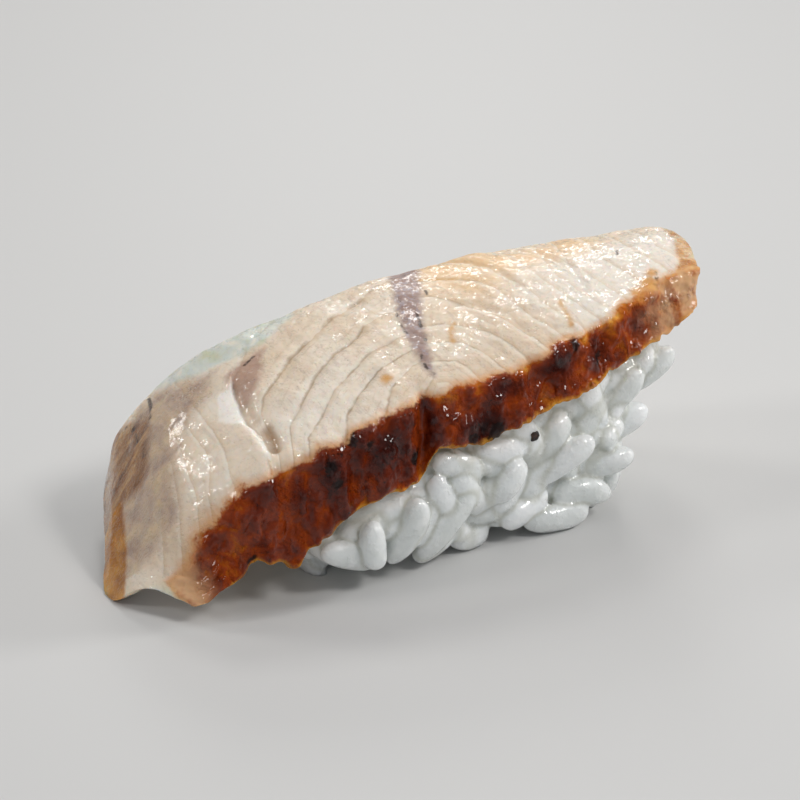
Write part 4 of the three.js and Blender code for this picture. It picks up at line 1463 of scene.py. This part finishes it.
def nearest_grains(points, grains):
    """For each point the number of its nearest grain, and how much further the next one is."""
    nearest = np.full(len(points), 1e9)
    second = np.full(len(points), 1e9)
    number = np.zeros(len(points), int)
    for k, grain in enumerate(grains):
        half = grain["long"] / 2 - GRAIN_TIP
        way = points - grain["middle"]
        along = np.clip(way @ grain["axis"], -half, half)
        distance = np.linalg.norm(way - along[:, None] * grain["axis"], axis=1)
        second = np.minimum(second, np.maximum(distance, nearest))
        number = np.where(distance < nearest, k, number)
        nearest = np.minimum(nearest, distance)
    return number, second - nearest


def build_rice(settings):
    grains = laid_grains(settings)
    form, form_faces = grain_form(settings.rings, settings.sides)
    corners, faces = box_grid(CORE["cells"])
    points = [core_points(corners)]
    faces = [tuple(face) for face in faces.tolist()]
    start = len(corners)
    for number, grain in enumerate(grains):
        points.append(grain_points(grain, form, number))
        faces.extend(tuple(start + corner for corner in face) for face in form_faces)
        start += len(form)
    points, faces = melted_together(np.concatenate(points), faces, settings.fineness, settings.soft)
    number, lead = nearest_grains(points, grains)
    tones = TONE["middle"] + TONE["spread"] * hashed(np.stack([np.arange(len(grains))] * 3, 1), 9)
    # The lead of the nearest grain over the next one, which places the painted shade in the seams
    marks = {"tone": tones[number], "seam_shade_lead": lead}
    material = rice_material(tints_with(settings))
    return make_piece("rice_grains", points, faces, marks, material, "rice")


def build_crumb():
    """A burnt crumb of crust that stuck to the rice."""
    corners, faces = box_grid(CRUMB["cells"])
    rounding = np.full(3, CRUMB["rounding"])
    share = round_cube(corners, rounding, rounding) - 0.5
    share = share * (1 + CRUMB["dents"] * grainy(share, 0.4, 61, 2))[:, None]
    points = share * CRUMB["size"] * CRUMB["shape"] + CRUMB["at"]
    return make_piece("burnt_crumb", points, faces, {}, char_material(tints_with()))


# ---- The stage ---------------------------------------------------------------------------


def build_floor(settings):
    half = settings.table_size / 2
    mesh = bpy.data.meshes.new("table")
    corners = [(-half, -half, 0), (half, -half, 0), (half, half, 0), (-half, half, 0)]
    mesh.from_pydata(corners, [], [(0, 1, 2, 3)])
    mesh.materials.append(floor_material(tints_with(settings)))
    floor = bpy.data.objects.new("table", mesh)
    bpy.context.scene.collection.objects.link(floor)


def add_softbox(name, place, size, power, tint):
    """A square soft light that faces the nigiri."""
    lamp = bpy.data.lights.new(name, "AREA")
    lamp.size = size
    lamp.energy = power
    lamp.color = tint
    box = bpy.data.objects.new(name, lamp)
    box.location = place
    box.rotation_euler = (Vector(AIMED_AT) - Vector(place)).to_track_quat("-Z", "Y").to_euler()
    bpy.context.scene.collection.objects.link(box)


def build_lights(settings):
    for name, (place, size, power, tint) in SOFTBOXES.items():
        add_softbox(name, place, size, power * settings.light_power, tint)
    world = bpy.data.worlds.new("studio")
    world.use_nodes = True
    background = world.node_tree.nodes["Background"]
    background.inputs["Color"].default_value = ROOM_TINT
    background.inputs["Strength"].default_value = settings.room_light
    bpy.context.scene.world = world
    bpy.context.scene.view_settings.view_transform = "Standard"


def build_camera():
    lens = bpy.data.cameras.new("photo_view")
    lens.sensor_width = CAMERA["sensor"]
    lens.lens = CAMERA["lens"]
    lens.clip_start = NEAREST_SEEN
    camera = bpy.data.objects.new("photo_view", lens)
    camera.location = (np.array(CAMERA["at"]) - MIDDLE) * MM
    tilt = math.radians(90 - CAMERA["elevation"])
    camera.rotation_euler = (tilt, 0, math.radians(CAMERA["azimuth"]))
    bpy.context.scene.collection.objects.link(camera)
    bpy.context.scene.camera = camera


# ---- Settings ----------------------------------------------------------------------------


def tint_setting(tint, description):
    """A colour in the panel, which stands for the tint of its name."""
    name = tint.replace("_", " ").capitalize()
    default = shade(*TINTS[tint])[:3]
    return FloatVectorProperty(name=name, description=description, subtype="COLOR", default=default)


class NigiriSliceSettings(bpy.types.PropertyGroup):
    cells_along: IntProperty(name="Cells along", description="Mesh cells along the slice", default=400)
    cells_across: IntProperty(name="Cells across", description="Mesh cells across it", default=80)
    cells_up: IntProperty(name="Cells up", description="Mesh cells through its thickness", default=34)
    relief: FloatProperty(
        name="Relief", description="Strength of the fine crags, flakes and tears", default=1.0
    )
    flesh: tint_setting("flesh", "Cooked flesh")
    warm_flesh: tint_setting("warm_flesh", "Flesh that took the sauce")
    amber_crust: tint_setting("amber_crust", "Lightly browned skin")
    red_crust: tint_setting("red_crust", "Deeply browned skin")


class NigiriRiceSettings(bpy.types.PropertyGroup):
    rings: IntProperty(name="Rings", description="Rings along a grain before they stick", default=14)
    sides: IntProperty(name="Sides", description="Sides round a grain before they stick", default=12)
    fineness: FloatProperty(name="Fineness", description="Mesh cell of the skin, in mm", default=0.27)
    soft: IntProperty(name="Softness", description="How much the seams are rounded", default=1)
    seed: IntProperty(name="Seed", description="Another lay of the deeper grains", default=5)
    rice: tint_setting("rice", "Cooked grains")
    deep_rice: tint_setting("deep_rice", "Clearer grains and the heart of the block")


class NigiriStageSettings(bpy.types.PropertyGroup):
    table_size: FloatProperty(
        name="Table size", description="Side of the square table", default=6.0, unit="LENGTH"
    )
    table: tint_setting("table", "Colour of the table")
    light_power: FloatProperty(name="Light", description="Strength of the softboxes", default=1.0)
    room_light: FloatProperty(name="Room light", description="Strength of the even light", default=0.2)


# ---- Operators and panel -----------------------------------------------------------------


class NIGIRI_OT_slice(bpy.types.Operator):
    """Builds the slice of grilled eel"""

    bl_idname = "nigiri.slice"
    bl_label = "Eel slice"

    def execute(self, context):
        build_slice(context.scene.nigiri_slice)
        return {"FINISHED"}


class NIGIRI_OT_rice(bpy.types.Operator):
    """Builds the block of rice: its grains and its core"""

    bl_idname = "nigiri.rice"
    bl_label = "Rice"

    def execute(self, context):
        build_rice(context.scene.nigiri_rice)
        return {"FINISHED"}


class NIGIRI_OT_crumb(bpy.types.Operator):
    """Builds the burnt crumb on the rice"""

    bl_idname = "nigiri.crumb"
    bl_label = "Burnt crumb"

    def execute(self, context):
        build_crumb()
        return {"FINISHED"}


class NIGIRI_OT_stage(bpy.types.Operator):
    """Builds the table, the soft light and the camera"""

    bl_idname = "nigiri.stage"
    bl_label = "Stage"

    def execute(self, context):
        settings = context.scene.nigiri_stage
        build_floor(settings)
        build_lights(settings)
        build_camera()
        return {"FINISHED"}


class NIGIRI_PT_panel(bpy.types.Panel):
    bl_label = "Eel nigiri"
    bl_idname = "NIGIRI_PT_panel"
    bl_space_type = "VIEW_3D"
    bl_region_type = "UI"
    bl_category = "Nigiri"

    def draw(self, context):
        for settings, operator in GROUPS:
            box = self.layout.box()
            group = getattr(context.scene, settings, None) if settings else None
            for name in group.__annotations__ if group else ():
                box.prop(group, name)
            box.operator(operator)


GROUPS = [
    ("nigiri_slice", "nigiri.slice"),
    ("nigiri_rice", "nigiri.rice"),
    (None, "nigiri.crumb"),
    ("nigiri_stage", "nigiri.stage"),
]
CLASSES = [
    NigiriSliceSettings,
    NigiriRiceSettings,
    NigiriStageSettings,
    NIGIRI_OT_slice,
    NIGIRI_OT_rice,
    NIGIRI_OT_crumb,
    NIGIRI_OT_stage,
    NIGIRI_PT_panel,
]


def register():
    for cls in CLASSES:
        bpy.utils.register_class(cls)
    bpy.types.Scene.nigiri_slice = PointerProperty(type=NigiriSliceSettings)
    bpy.types.Scene.nigiri_rice = PointerProperty(type=NigiriRiceSettings)
    bpy.types.Scene.nigiri_stage = PointerProperty(type=NigiriStageSettings)


def unregister():
    del bpy.types.Scene.nigiri_slice
    del bpy.types.Scene.nigiri_rice
    del bpy.types.Scene.nigiri_stage
    for cls in reversed(CLASSES):
        bpy.utils.unregister_class(cls)


def main():
    register()
    bpy.ops.nigiri.slice()
    bpy.ops.nigiri.rice()
    bpy.ops.nigiri.crumb()
    bpy.ops.nigiri.stage()


if __name__ == "__main__":
    main()
